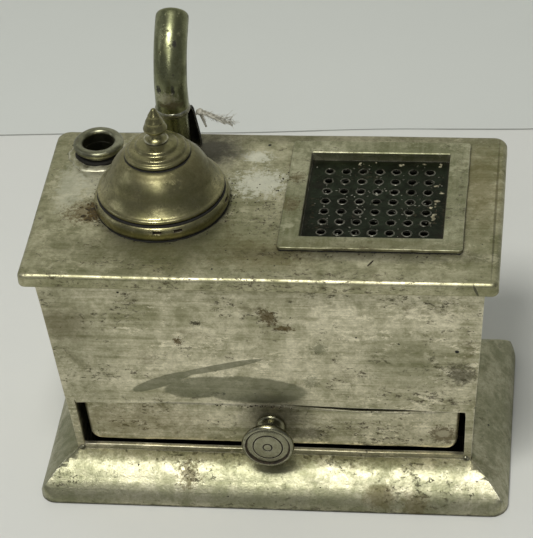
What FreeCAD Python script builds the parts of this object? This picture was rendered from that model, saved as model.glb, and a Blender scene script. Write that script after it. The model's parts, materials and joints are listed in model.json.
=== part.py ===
import FreeCAD, Part
import math
import os
import Sketcher
from FreeCAD import Placement, Rotation, Vector

# Tabletop boiler box: a tapered sheet-metal casing on a mitred plinth, under an
# overhanging deck that carries a domed boiler, a filler collar, a gooseneck pipe
# and a drop-in fire tray, with an ash drawer at the foot.
# Frame: +Z up, front faces -Y, origin on the floor under the middle of the casing.
# Lengths are in millimetres.

os.makedirs("parts", exist_ok=True)
doc = FreeCAD.newDocument("boiler_box")
sheet = doc.addObject("Spreadsheet::Sheet", "dims")

# ---------------------------------------------------------------- dimensions
# (name, value or formula, meaning)
DIMENSIONS = [
    ("deck_half_x", 80.0, "half length of the deck"),
    ("deck_half_y", 42.0, "half depth of the deck"),
    ("deck_top", 100.0, "height of the deck's upper face"),
    ("deck_edge", 5.4, "height of the turned-down deck rim"),
    ("deck_sheet", 1.2, "thickness of the deck sheet"),
    ("deck_rim", 3.9, "width of the rolled rim"),
    ("deck_roll", 1.7, "upper edge radius of the rim"),
    ("deck_tuck", 1.1, "lower edge radius of the rim"),
    ("deck_corner_front", 2.5, "plan radius of the front corners"),
    ("deck_corner_back", 4.8, "plan radius of the back corners"),
    ("deck_under", "=deck_top - deck_sheet", "underside of the deck sheet"),
    ("deck_low", "=deck_top - deck_edge", "lower end of the deck rim"),
    ("plinth_top", 14.0, "height of the plinth moulding"),
    ("plinth_out", 13.3, "projection of the plinth beyond the casing"),
    ("plinth_front_out", 14.3, "projection of the plinth at the front"),
    ("plinth_foot", 3.2, "thickness of the moulding at its foot"),
    ("plinth_corner", 6.5, "plan radius of the plinth's corners"),
    ("floor_sheet", 1.2, "thickness of the bottom plate"),
    ("case_wall", 1.5, "thickness of the casing walls"),
    ("case_foot_x", 69.6, "casing half length at the plinth top"),
    ("case_foot_y", 31.8, "casing half depth at the plinth top"),
    ("case_head_x", 75.5, "casing half length under the deck rim"),
    ("case_head_y", 37.5, "casing half depth under the deck rim"),
    ("lean_x", "=(case_head_x - case_foot_x) / (deck_low - plinth_top)", "flare in X per mm"),
    ("lean_y", "=(case_head_y - case_foot_y) / (deck_low - plinth_top)", "flare in Y per mm"),
    ("low_x", "=case_foot_x - lean_x * (plinth_top - floor_sheet)", "half length at the floor"),
    ("low_y", "=case_foot_y - lean_y * (plinth_top - floor_sheet)", "half depth at the floor"),
    ("high_x", "=case_foot_x + lean_x * (deck_under - plinth_top)", "half length at the deck"),
    ("high_y", "=case_foot_y + lean_y * (deck_under - plinth_top)", "half depth at the deck"),
    ("plinth_x", "=case_foot_x + plinth_out", "plinth half length"),
    ("plinth_back", "=case_foot_y + plinth_out", "Y of the plinth's rear edge"),
    ("plinth_front", "=case_foot_y + plinth_front_out", "distance of its front edge from the middle"),
    ("mouth_low", 16.2, "lower edge of the drawer opening"),
    ("mouth_high", 37.0, "upper edge of the drawer opening at its ends"),
    ("mouth_arch", 38.3, "upper edge of the drawer opening at the middle"),
    ("mouth_low_x", 67.2, "half width of the opening at its foot"),
    ("mouth_high_x", 68.3, "half width of the opening at its head"),
    ("runner_top", 16.7, "height of the drawer runners"),
    ("runner_in", 60.0, "inner edge of a runner"),
    ("runner_out", 66.6, "outer edge of a runner"),
    ("drawer_face", -30.2, "Y of the drawer front"),
    ("drawer_pan", 6.0, "depth of the drawer front's returned edges"),
    ("drawer_low", 16.9, "lower edge of the drawer front"),
    ("drawer_high", 35.7, "upper edge of the drawer front"),
    ("drawer_low_x", 64.6, "half width of the drawer front at its foot"),
    ("drawer_high_x", 66.2, "half width of the drawer front at its head"),
    ("drawer_sheet", 1.2, "sheet thickness of the drawer front"),
    ("tray_x", 64.4, "half width of the ash tray"),
    ("tray_back", 28.0, "Y of the ash tray's back"),
    ("tray_low", 17.1, "underside of the ash tray"),
    ("tray_high", 31.0, "rim of the ash tray"),
    ("tray_sheet", 1.0, "sheet thickness of the ash tray"),
    ("tray_front", "=drawer_face + drawer_pan", "Y where the ash tray meets its front"),
    ("knob_z", 26.2, "height of the drawer knob"),
    ("knob_r", 9.1, "radius of the knob's rim"),
    ("knob_reach", 12.2, "projection of the knob"),
    ("ceiling_z", 40.0, "underside of the shelf over the drawer"),
    ("ceiling_sheet", 1.0, "thickness of the shelf"),
    ("fire_x", 36.5, "X of the fire tray's centre"),
    ("fire_y", 5.0, "Y of the fire tray's centre"),
    ("frame_half", 31.0, "half side of the fire tray's frame"),
    ("frame_lift", 0.3, "gap under the fire tray's frame"),
    ("frame_sheet", 1.0, "thickness of the frame"),
    ("frame_low", "=deck_top + frame_lift", "underside of the frame"),
    ("basket_half", 25.1, "outer half side of the fire basket"),
    ("basket_sheet", 1.0, "wall of the fire basket"),
    ("basket_low", 88.0, "lower end of the fire basket"),
    ("basket_in", "=basket_half - basket_sheet", "inner half side of the fire basket"),
    ("hatch_half", 25.6, "half side of the deck's fire opening"),
    ("grate_z", 97.1, "underside of the grate"),
    ("grate_sheet", 0.8, "thickness of the grate"),
    ("grate_pitch", 5.8, "spacing of the grate's holes"),
    ("grate_hole", 1.5, "radius of the grate's holes"),
    ("chute_half", 26.0, "outer half side of the ash chute"),
    ("chute_high", 86.0, "upper end of the ash chute"),
    ("dome_x", -36.5, "X of the boiler's axis"),
    ("dome_y", 0.0, "Y of the boiler's axis"),
    ("pot_r", 20.6, "outer radius of the boiler pot"),
    ("pot_wall", 1.0, "wall of the boiler pot"),
    ("pot_low", 52.0, "underside of the boiler pot"),
    ("seat_r", 21.1, "inner radius of the seat ring"),
    ("seat_bulge", 23.3, "largest radius of the seat ring"),
    ("seat_high", 105.4, "top of the seat ring"),
    ("spigot_r", 20.4, "outer radius of the dome's spigot"),
    ("dome_low", 106.2, "underside of the dome's rim"),
    ("lid_r", 11.3, "radius of the lid"),
    ("lid_low", 121.0, "underside of the lid"),
    ("lid_high", 126.8, "height of the lid's crown"),
    ("neck_r", 8.0, "radius of the dome's mouth"),
    ("filler_x", -63.0, "X of the filler collar"),
    ("filler_y", 27.8, "Y of the filler collar"),
    ("filler_bore", 5.7, "bore radius of the filler"),
    ("filler_r", 8.9, "outer radius of the filler's bead"),
    ("filler_foot_r", 11.4, "radius of the filler's foot disc"),
    ("filler_foot", 0.8, "thickness of the filler's foot disc"),
    ("filler_high", 106.0, "top of the filler's bead"),
    ("filler_low", 78.0, "lower end of the filler tube"),
    ("pipe_x", -35.8, "X of the pipe's foot"),
    ("pipe_y", 30.5, "Y of the pipe's foot"),
    ("pipe_r", 5.8, "outer radius of the gooseneck pipe"),
    ("pipe_bore", 5.25, "bore radius of the gooseneck pipe"),
    ("pipe_low", 118.3, "lower end of the gooseneck pipe"),
    ("pipe_straight", 3.4, "straight length before the bend"),
    ("pipe_bend", 26.0, "centre-line radius of the bend"),
    ("pipe_turn", 58.0, "angle of the bend in degrees"),
    ("pipe_end", 5.0, "straight length after the bend"),
    ("outlet_y", "=pipe_y + pipe_bend * (1 - cos(pipe_turn * 1 deg))", "Y where the bend ends"),
    ("outlet_z", "=pipe_low + pipe_straight + pipe_bend * sin(pipe_turn * 1 deg)",
     "height where the bend ends"),
    ("socket_r", 5.2, "outer radius of the pipe socket"),
    ("socket_bore", 4.5, "bore radius of the pipe socket"),
    ("socket_high", 121.4, "top of the pipe socket"),
    ("socket_bead", 118.0, "top of the bead that carries the pipe"),
]

for row, (name, value, meaning) in enumerate(DIMENSIONS, start=1):
    sheet.set("A%d" % row, name)
    sheet.set("B%d" % row, str(value))
    sheet.setAlias("B%d" % row, name)
    sheet.set("C%d" % row, meaning)
doc.recompute()


def split_terms(text):
    """Split 'cell + 1.2 - other' into (sign, term) pairs."""
    words = str(text).split()
    if len(words) == 1 and words[0].startswith("-"):
        return [(-1.0, words[0][1:])]
    terms = []
    sign = 1.0
    for word in words:
        if word in ("+", "-"):
            sign = 1.0 if word == "+" else -1.0
            continue
        if word.startswith("-"):
            sign = -sign
            word = word[1:]
        terms.append((sign, word))
        sign = 1.0
    return terms


def value_of(text):
    """Number that a cell name, a sum of cell names, or a plain number stands for."""
    total = 0.0
    for sign, term in split_terms(text):
        number = float(term) if term[0].isdigit() else float(sheet.get(term))
        total += sign * number
    return total


def formula_of(text):
    """Expression that binds a property to the same cells."""
    pieces = []
    for sign, term in split_terms(text):
        pieces.append("+" if sign > 0 else "-")
        pieces.append(term if term[0].isdigit() else "dims." + term)
    return " ".join(pieces[1:] if pieces[0] == "+" else pieces)


def bind(item, prop, text):
    """Bind one property of an object to the spreadsheet."""
    item.setExpression(prop, formula_of(text))


def place(item, x="0", y="0", z="0", yaw=0.0):
    """Position an object from cell names, turned about Z by yaw degrees."""
    base = Vector(value_of(x), value_of(y), value_of(z))
    item.Placement = Placement(base, Rotation(Vector(0, 0, 1), yaw))
    for prop, text in (("x", x), ("y", y), ("z", z)):
        if text != "0":
            bind(item, "Placement.Base." + prop, text)


# ---------------------------------------------------------------- sketch tools
def new_body(name):
    body = doc.addObject("PartDesign::Body", name)
    body.Label = name
    return body


def pin_point(sketch, index, end, point):
    """Hold one end of a sketch element at a point given by cell names."""
    for axis, text in zip("XY", point):
        if value_of(text) == 0.0:
            line = -2 if axis == "X" else -1
            sketch.addConstraint(Sketcher.Constraint("PointOnObject", index, end, line))
            continue
        rule = Sketcher.Constraint("Distance" + axis, -1, 1, index, end, value_of(text))
        number = sketch.addConstraint(rule)
        sketch.setExpression("Constraints[%d]" % number, formula_of(text))


def draw_loop(sketch, points):
    """Closed outline. A third value in a point is the mid point of an arc to the next."""
    flat = [Vector(value_of(p[0]), value_of(p[1]), 0) for p in points]
    first = sketch.GeometryCount
    ends = []
    for i, point in enumerate(points):
        start = flat[i]
        stop = flat[(i + 1) % len(flat)]
        ends.append((1, 2))
        if len(point) == 3:
            middle = Vector(value_of(point[2][0]), value_of(point[2][1]), 0)
            # sketches keep arcs anticlockwise, so a clockwise one is drawn backwards
            if (middle - start).cross(stop - start).z < 0:
                start, stop = stop, start
                ends[i] = (2, 1)
            arc = Part.ArcOfCircle(start, middle, stop)
            sketch.addGeometry(arc, False)
            sketch.addConstraint(Sketcher.Constraint("Radius", first + i, arc.Radius))
        else:
            sketch.addGeometry(Part.LineSegment(start, stop), False)
    count = len(points)
    for i in range(count):
        after = (i + 1) % count
        rule = Sketcher.Constraint(
            "Coincident", first + i, ends[i][1], first + after, ends[after][0])
        sketch.addConstraint(rule)
        pin_point(sketch, first + i, ends[i][0], points[i])


def draw_circle(sketch, x, y, radius):
    centre = Vector(value_of(x), value_of(y), 0)
    shape = Part.Circle(centre, Vector(0, 0, 1), value_of(radius))
    index = sketch.addGeometry(shape, False)
    pin_point(sketch, index, 3, (x, y))
    number = sketch.addConstraint(Sketcher.Constraint("Radius", index, value_of(radius)))
    sketch.setExpression("Constraints[%d]" % number, formula_of(radius))


def new_sketch(body, name, plane, loops=(), circles=(), offset="0"):
    """Sketch on one of the body's own planes, moved along its normal by offset."""
    sketch = body.newObject("Sketcher::SketchObject", name)
    support = [f for f in body.Origin.OriginFeatures if f.Role == plane][0]
    sketch.AttachmentSupport = [(support, "")]
    sketch.MapMode = "FlatFace"
    sketch.AttachmentOffset = Placement(Vector(0, 0, value_of(offset)), Rotation())
    if offset != "0":
        bind(sketch, "AttachmentOffset.Base.z", offset)
    for loop in loops:
        draw_loop(sketch, loop)
    for circle in circles:
        draw_circle(sketch, *circle)
    doc.recompute()
    return sketch


def rectangle(x0, x1, y0, y1):
    return [(x0, y0), (x1, y0), (x1, y1), (x0, y1)]


def pad(body, name, sketch, length):
    feature = body.newObject("PartDesign::Pad", name)
    feature.Profile = sketch
    bind(feature, "Length", length)
    doc.recompute()
    return feature


def pocket(body, name, sketch, length=None, reverse=False):
    """Cut a sketch into the body; with no length it goes right through."""
    before = body.Shape.Volume
    feature = body.newObject("PartDesign::Pocket", name)
    feature.Profile = sketch
    feature.Reversed = reverse
    if length is None:
        feature.Type = "ThroughAll"
    else:
        bind(feature, "Length", length)
    doc.recompute()
    if not body.Shape.Volume < before - 1e-6:
        raise RuntimeError(name + " removed nothing")
    return feature


def lathe(body, name, sketch, axis="V_Axis"):
    feature = body.newObject("PartDesign::Revolution", name)
    feature.Profile = sketch
    feature.ReferenceAxis = (sketch, [axis])
    feature.Angle = 360.0
    doc.recompute()
    return feature


def fillet(body, name, base, radius, wanted):
    """Round the edges of base for which wanted(edge) is true."""
    names = []
    for number, edge in enumerate(base.Shape.Edges, start=1):
        if wanted(edge):
            names.append("Edge%d" % number)
    if not names:
        raise RuntimeError(name + " found no edges")
    feature = body.newObject("PartDesign::Fillet", name)
    feature.Base = (base, names)
    bind(feature, "Radius", radius)
    doc.recompute()
    return feature


def upright(edge):
    box = edge.BoundBox
    return box.XLength < 1e-6 and box.YLength < 1e-6 and box.ZLength > 1e-3


def level(edge, z):
    box = edge.BoundBox
    return abs(box.ZMin - z) < 1e-5 and abs(box.ZMax - z) < 1e-5


# ---------------------------------------------------------------- primitive tools
def block(name, x0, x1, y0, y1, z0, z1):
    """Box between six planes given by cell names."""
    item = doc.addObject("Part::Box", name)
    item.Label = name
    for prop, low, high in (("Length", x0, x1), ("Width", y0, y1), ("Height", z0, z1)):
        item.setExpression(prop, "(%s) - (%s)" % (formula_of(high), formula_of(low)))
    place(item, x0, y0, z0)
    return item


def frustum(name, low_box, high_box, z0, z1):
    """Slab whose plan changes evenly from low_box to high_box, each (x0, x1, y0, y1)."""
    item = doc.addObject("Part::Wedge", name)
    item.Label = name
    item.Placement = Placement(Vector(0, 0, 0), Rotation(Vector(1, 0, 0), 90))
    # the wedge grows along its own Y, which the turn above stands up as Z;
    # its own Z then points towards the front, so the Y limits change sign
    pairs = [("Xmin", low_box[0], 1), ("Xmax", low_box[1], 1)]
    pairs += [("Zmin", low_box[3], -1), ("Zmax", low_box[2], -1)]
    pairs += [("X2min", high_box[0], 1), ("X2max", high_box[1], 1)]
    pairs += [("Z2min", high_box[3], -1), ("Z2max", high_box[2], -1)]
    pairs += [("Ymin", z0, 1), ("Ymax", z1, 1)]
    for prop, text, sign in pairs:
        setattr(item, prop, sign * value_of(text))
        item.setExpression(prop, "%d * (%s)" % (sign, formula_of(text)))
    return item


def tube(name, x, y, outer, inner, z0, z1):
    """Round tube on an upright axis."""
    parts = []
    for tag, radius in (("_outer", outer), ("_inner", inner)):
        item = doc.addObject("Part::Cylinder", name + tag)
        bind(item, "Radius", radius)
        item.setExpression("Height", "(%s) - (%s)" % (formula_of(z1), formula_of(z0)))
        place(item, x, y, z0)
        parts.append(item)
    return cut(name, parts[0], parts[1])


def cut(name, base, tool):
    item = doc.addObject("Part::Cut", name)
    item.Label = name
    item.Base = base
    item.Tool = tool
    return item


def join(name, pieces):
    item = doc.addObject("Part::MultiFuse", name)
    item.Label = name
    item.Shapes = pieces
    return item


parts = {}

# ---------------------------------------------------------------- plinth
parts["bottom_plate"] = block(
    "bottom_plate",
    "-plinth_x + plinth_foot", "plinth_x - plinth_foot",
    "-plinth_front + plinth_foot", "plinth_back - plinth_foot",
    "0", "floor_sheet")


def moulding(name, wall, out, ends, yaw):
    """One side of the plinth: a hollow, outward-curving moulding mitred at both ends.

    It is drawn facing the front and then turned. ends gives, for its left and its right
    end, how far the outer and the inner corner of the mitre lie from the middle.
    """
    body = new_body(name)
    width = value_of(out) - value_of(wall)

    def across(share):
        """The place a share of the way from the casing wall to the outer edge."""
        return "-%s - %.3f" % (wall, share * width)

    section = [
        ("-" + wall, "plinth_top", (across(0.350), "plinth_top - 2.1")),
        (across(0.657), "plinth_top - 5.4", (across(0.878), "plinth_top - 8.7")),
        ("-" + out, "1.6"),
        ("-" + out, "0.5"),
        ("-" + out + " + 0.5", "0"),
        ("-" + out + " + plinth_foot", "0"),
        ("-" + out + " + plinth_foot", "1.4", (across(0.55), "plinth_top - 6.6")),
        ("-" + wall, "plinth_top - 2.1"),
    ]
    half = ends[1][0]
    sketch = new_sketch(body, name + "_section", "YZ_Plane", [section], offset="-" + ends[0][0])
    pad(body, name + "_bar", sketch, ends[0][0] + " + " + half)
    cuts, corners = [], []
    for side, (outer, inner) in ((-1, ends[0]), (1, ends[1])):
        sign, back = ("-", " + ") if side < 0 else ("", " - ")
        forth = " - " if side < 0 else " + "
        beyond = (value_of(outer) - value_of(inner)) / width
        cuts.append([
            (sign + outer, "-" + out),
            (sign + outer, "-" + wall + " + 1.0"),
            (sign + inner + back + "%.4f" % beyond, "-" + wall + " + 1.0"),
        ])
        nip = 0.29289 * value_of("plinth_corner")
        corners.append([
            (sign + outer + back + "plinth_corner", "-" + out,
             (sign + outer + back + "%.4f" % nip, "-" + out + " + %.4f" % nip)),
            (sign + outer, "-" + out + " + plinth_corner"),
            (sign + outer + forth + "1.0", "-" + out + " + plinth_corner"),
            (sign + outer + forth + "1.0", "-" + out + " - 1.0"),
            (sign + outer + back + "plinth_corner", "-" + out + " - 1.0"),
        ])
    mitre = new_sketch(body, name + "_mitre", "XY_Plane", cuts, offset="plinth_top + 1.0")
    pocket(body, name + "_mitred", mitre)
    rounding = new_sketch(body, name + "_rounding", "XY_Plane", corners, offset="plinth_top + 1.0")
    pocket(body, name + "_rounded", rounding)
    place(body, yaw=yaw)
    return body


LONG_END = ("plinth_x", "case_foot_x")
FRONT_END = ("plinth_front", "case_foot_y")
BACK_END = ("plinth_back", "case_foot_y")
parts["plinth_front"] = moulding(
    "plinth_front", "case_foot_y", "plinth_front", (LONG_END, LONG_END), 0)
parts["plinth_rear"] = moulding(
    "plinth_rear", "case_foot_y", "plinth_back", (LONG_END, LONG_END), 180)
parts["plinth_left"] = moulding(
    "plinth_left", "case_foot_x", "plinth_x", (BACK_END, FRONT_END), -90)
parts["plinth_right"] = moulding(
    "plinth_right", "case_foot_x", "plinth_x", (FRONT_END, BACK_END), 90)

# ---------------------------------------------------------------- casing
front_slab = frustum(
    "front_slab",
    ("-low_x", "low_x", "-low_y", "-low_y + case_wall"),
    ("-high_x", "high_x", "-high_y", "-high_y + case_wall"),
    "floor_sheet", "deck_under")

mouth = new_body("drawer_mouth")
mouth_outline = [
    ("-mouth_low_x", "mouth_low"),
    ("mouth_low_x", "mouth_low"),
    ("mouth_high_x", "mouth_high", ("0", "mouth_arch")),
    ("-mouth_high_x", "mouth_high"),
]
mouth_sketch = new_sketch(mouth, "mouth_outline", "XZ_Plane", [mouth_outline], offset="20")
pad(mouth, "mouth_depth", mouth_sketch, "20")

parts["casing_front"] = cut("casing_front", front_slab, mouth)
parts["casing_rear"] = frustum(
    "casing_rear",
    ("-low_x", "low_x", "low_y - case_wall", "low_y"),
    ("-high_x", "high_x", "high_y - case_wall", "high_y"),
    "floor_sheet", "deck_under")
parts["casing_left"] = frustum(
    "casing_left",
    ("-low_x", "-low_x + case_wall", "-low_y + case_wall", "low_y - case_wall"),
    ("-high_x", "-high_x + case_wall", "-high_y + case_wall", "high_y - case_wall"),
    "floor_sheet", "deck_under")
parts["casing_right"] = frustum(
    "casing_right",
    ("low_x - case_wall", "low_x", "-low_y + case_wall", "low_y - case_wall"),
    ("high_x - case_wall", "high_x", "-high_y + case_wall", "high_y - case_wall"),
    "floor_sheet", "deck_under")

# ---------------------------------------------------------------- deck
deck = new_body("deck_plate")
deck_outline = new_sketch(
    deck, "deck_outline", "XY_Plane",
    [rectangle("-deck_half_x", "deck_half_x", "-deck_half_y", "deck_half_y")])
slab = pad(deck, "deck_slab", deck_outline, "deck_edge")
front_corners = fillet(
    deck, "deck_front_corners", slab, "deck_corner_front",
    lambda edge: upright(edge) and edge.BoundBox.YMax < 0)
back_corners = fillet(
    deck, "deck_back_corners", front_corners, "deck_corner_back",
    lambda edge: upright(edge) and edge.BoundBox.YMin > value_of("deck_half_y") - 0.1)
rolled = fillet(
    deck, "deck_rolled_edge", back_corners, "deck_roll",
    lambda edge: level(edge, value_of("deck_edge")))
tucked = fillet(
    deck, "deck_tucked_edge", rolled, "deck_tuck", lambda edge: level(edge, 0.0))
underside = new_sketch(
    deck, "deck_underside", "XY_Plane",
    [rectangle("-deck_half_x + deck_rim", "deck_half_x - deck_rim",
               "-deck_half_y + deck_rim", "deck_half_y - deck_rim")])
pocket(deck, "deck_hollow", underside, "deck_edge - deck_sheet", reverse=True)
openings = new_sketch(
    deck, "deck_openings", "XY_Plane",
    [rectangle("fire_x - hatch_half", "fire_x + hatch_half",
               "fire_y - hatch_half", "fire_y + hatch_half")],
    [("dome_x", "dome_y", "pot_r"),
     ("filler_x", "filler_y", "filler_bore + 0.9"),
     ("pipe_x", "pipe_y", "socket_r")],
    offset="deck_edge + 1.0")
pocket(deck, "deck_cutouts", openings)
place(deck, z="deck_low")
parts["deck_plate"] = deck

# ---------------------------------------------------------------- inside the casing
ceiling = new_body("drawer_ceiling")
ceiling_outline = new_sketch(
    ceiling, "ceiling_outline", "XY_Plane",
    [rectangle("-case_foot_x - 0.2", "case_foot_x + 0.2",
               "-case_foot_y - 0.2", "case_foot_y + 0.2"),
     rectangle("fire_x - chute_half + 2.0", "fire_x + chute_half - 2.0",
               "fire_y - chute_half + 2.0", "fire_y + chute_half - 2.0")])
pad(ceiling, "ceiling_sheet_metal", ceiling_outline, "ceiling_sheet")
place(ceiling, z="ceiling_z")
parts["drawer_ceiling"] = ceiling

chute_outer = block(
    "chute_outer", "fire_x - chute_half", "fire_x + chute_half",
    "fire_y - chute_half", "fire_y + chute_half",
    "ceiling_z + ceiling_sheet", "chute_high")
chute_inner = block(
    "chute_inner", "fire_x - chute_half + 1.0", "fire_x + chute_half - 1.0",
    "fire_y - chute_half + 1.0", "fire_y + chute_half - 1.0",
    "ceiling_z + ceiling_sheet - 1.0", "chute_high + 1.0")
parts["ash_chute"] = cut("ash_chute", chute_outer, chute_inner)

for side, tag in ((-1, "left"), (1, "right")):
    name = "drawer_runner_" + tag
    if side < 0:
        flange = block(name + "_flange", "-runner_out", "-runner_in", "-23.0", "tray_back",
                       "runner_top - 1.2", "runner_top")
        web = block(name + "_web", "-runner_out", "-runner_out + 1.2", "-23.0", "tray_back",
                    "floor_sheet", "runner_top - 1.2")
    else:
        flange = block(name + "_flange", "runner_in", "runner_out", "-23.0", "tray_back",
                       "runner_top - 1.2", "runner_top")
        web = block(name + "_web", "runner_out - 1.2", "runner_out", "-23.0", "tray_back",
                    "floor_sheet", "runner_top - 1.2")
    parts[name] = join(name, [flange, web])

# ---------------------------------------------------------------- ash drawer
front = new_body("drawer_front")
front_outline = [
    ("-drawer_low_x", "drawer_low"),
    ("drawer_low_x", "drawer_low"),
    ("drawer_high_x", "drawer_high"),
    ("-drawer_high_x", "drawer_high"),
]
front_sketch = new_sketch(
    front, "drawer_front_outline", "XZ_Plane", [front_outline], offset="-tray_front")
front_pad = pad(front, "drawer_front_blank", front_sketch, "drawer_pan")


def runs_back(edge):
    """True for the edges that run from the drawer's face to its back."""
    return edge.BoundBox.YLength > value_of("drawer_pan") - 0.01


low_corners = fillet(
    front, "drawer_front_low_corners", front_pad, "4.2",
    lambda edge: runs_back(edge) and edge.BoundBox.ZMax < value_of("knob_z"))
high_corners = fillet(
    front, "drawer_front_high_corners", low_corners, "1.6",
    lambda edge: runs_back(edge) and edge.BoundBox.ZMin > value_of("drawer_high") - 0.1)
pan_edge = fillet(
    front, "drawer_front_pan_edge", high_corners, "1.5",
    lambda edge: edge.BoundBox.YMax < value_of("drawer_face") + 0.01)
pan_outline = [
    ("-drawer_low_x + 1.5", "drawer_low + drawer_sheet"),
    ("drawer_low_x - 1.5", "drawer_low + drawer_sheet"),
    ("drawer_high_x - 1.5", "drawer_high - drawer_sheet"),
    ("-drawer_high_x + 1.5", "drawer_high - drawer_sheet"),
]
pan_sketch = new_sketch(
    front, "drawer_pan_outline", "XZ_Plane", [pan_outline], offset="-tray_front")
pan = pocket(front, "drawer_pan_hollow", pan_sketch, "drawer_pan - drawer_sheet", reverse=True)
stud_hole = new_sketch(
    front, "drawer_stud_hole", "XZ_Plane", circles=[("0", "knob_z", "1.6")],
    offset="-drawer_face + 1.0")
pocket(front, "drawer_stud_way", stud_hole, "8.0")
parts["drawer_front"] = front

tray = new_body("ash_tray")
tray_outline = new_sketch(
    tray, "ash_tray_outline", "XY_Plane",
    [rectangle("-tray_x", "tray_x", "tray_front", "tray_back")])
tray_blank = pad(tray, "ash_tray_blank", tray_outline, "tray_high - tray_low")
tray_round = fillet(
    tray, "ash_tray_corners", tray_blank, "3.0",
    lambda edge: upright(edge) and edge.BoundBox.YMin > 0)
tray_inside = new_sketch(
    tray, "ash_tray_inside", "XY_Plane",
    [rectangle("-tray_x + tray_sheet", "tray_x - tray_sheet",
               "tray_front + tray_sheet", "tray_back - tray_sheet")],
    offset="tray_sheet")
hollow = pocket(tray, "ash_tray_hollow", tray_inside, "tray_high", reverse=True)
fillet(tray, "ash_tray_inner_corners", hollow, "2.0",
       lambda edge: upright(edge) and edge.BoundBox.YMin > 0
       and abs(edge.BoundBox.XMin) < value_of("tray_x") - 0.9
       and abs(edge.BoundBox.YMax - value_of("tray_back") + value_of("tray_sheet")) < 0.01)
place(tray, z="tray_low")
parts["ash_tray"] = tray

knob = new_body("drawer_knob")
knob_outline = [
    ("0", "0"),
    ("5.1", "0"),
    ("5.1", "-1.2"),
    ("4.4", "-1.9"),
    ("2.9", "-2.3", ("2.5", "-4.2")),
    ("3.0", "-6.6", ("4.6", "-8.4")),
    ("knob_r - 0.8", "-9.6"),
    ("knob_r - 0.1", "-10.1", ("knob_r + 0.12", "-10.9")),
    ("knob_r - 0.3", "-11.7", ("knob_r - 0.75", "-12.0")),
    ("knob_r - 1.3", "-11.8"),
    ("knob_r - 1.7", "-11.35"),
    ("5.2", "-11.7"),
    ("4.9", "-11.45"),
    ("4.6", "-11.75"),
    ("1.7", "-12.0"),
    ("1.4", "-11.75"),
    ("1.1", "-12.0"),
    ("0", "-12.1"),
]
knob_sketch = new_sketch(knob, "knob_outline", "XY_Plane", [knob_outline])
turned = lathe(knob, "knob_turned", knob_sketch)
bore = new_sketch(knob, "knob_stud_bore", "XZ_Plane", circles=[("0", "0", "1.5")])
pocket(knob, "knob_stud_seat", bore, "4.0", reverse=True)
place(knob, y="drawer_face", z="knob_z")
parts["drawer_knob"] = knob

stud = doc.addObject("Part::Cylinder", "knob_stud")
stud.Label = "knob_stud"
bind(stud, "Radius", "1.5")
bind(stud, "Height", "8.0")
stud.Placement = Placement(
    Vector(0, value_of("drawer_face") + 4.0, value_of("knob_z")),
    Rotation(Vector(1, 0, 0), 90))
bind(stud, "Placement.Base.y", "drawer_face + 4.0")
bind(stud, "Placement.Base.z", "knob_z")
parts["knob_stud"] = stud

nut_blank = doc.addObject("Part::Prism", "nut_blank")
nut_blank.Polygon = 6
bind(nut_blank, "Circumradius", "3.2")
bind(nut_blank, "Height", "2.2")
nut_bore = doc.addObject("Part::Cylinder", "nut_bore")
bind(nut_bore, "Radius", "1.5")
bind(nut_bore, "Height", "4.0")
nut_blank.Placement = Placement(
    Vector(0, value_of("drawer_face") + 3.4, value_of("knob_z")),
    Rotation(Vector(1, 0, 0), 90))
bind(nut_blank, "Placement.Base.y", "drawer_face + 3.4")
bind(nut_blank, "Placement.Base.z", "knob_z")
nut_bore.Placement = Placement(
    Vector(0, value_of("drawer_face") + 4.2, value_of("knob_z")),
    Rotation(Vector(1, 0, 0), 90))
bind(nut_bore, "Placement.Base.y", "drawer_face + 4.2")
bind(nut_bore, "Placement.Base.z", "knob_z")
parts["knob_nut"] = cut("knob_nut", nut_blank, nut_bore)

# ---------------------------------------------------------------- fire tray
frame = new_body("fire_frame")
frame_outline = new_sketch(
    frame, "fire_frame_outline", "XY_Plane",
    [rectangle("-frame_half", "frame_half", "-frame_half", "frame_half"),
     rectangle("-basket_in", "basket_in", "-basket_in", "basket_in")])
frame_blank = pad(frame, "fire_frame_blank", frame_outline, "frame_sheet")


def outer_corner(edge):
    box = edge.BoundBox
    return upright(edge) and abs(box.XMin) > 28.0


frame_corners = fillet(frame, "fire_frame_corners", frame_blank, "1.4", outer_corner)
fillet(frame, "fire_frame_soft_edge", frame_corners, "0.35",
       lambda edge: level(edge, 1.0)
       and max(abs(edge.BoundBox.XMin), abs(edge.BoundBox.XMax),
               abs(edge.BoundBox.YMin), abs(edge.BoundBox.YMax)) > 28.0)
place(frame, "fire_x", "fire_y", "frame_low")
parts["fire_frame"] = frame

basket_outer = block(
    "basket_outer", "fire_x - basket_half", "fire_x + basket_half",
    "fire_y - basket_half", "fire_y + basket_half", "basket_low", "frame_low")
basket_inner = block(
    "basket_inner", "fire_x - basket_in", "fire_x + basket_in",
    "fire_y - basket_in", "fire_y + basket_in", "basket_low - 1.0", "frame_low + 1.0")
parts["fire_basket"] = cut("fire_basket", basket_outer, basket_inner)

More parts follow.
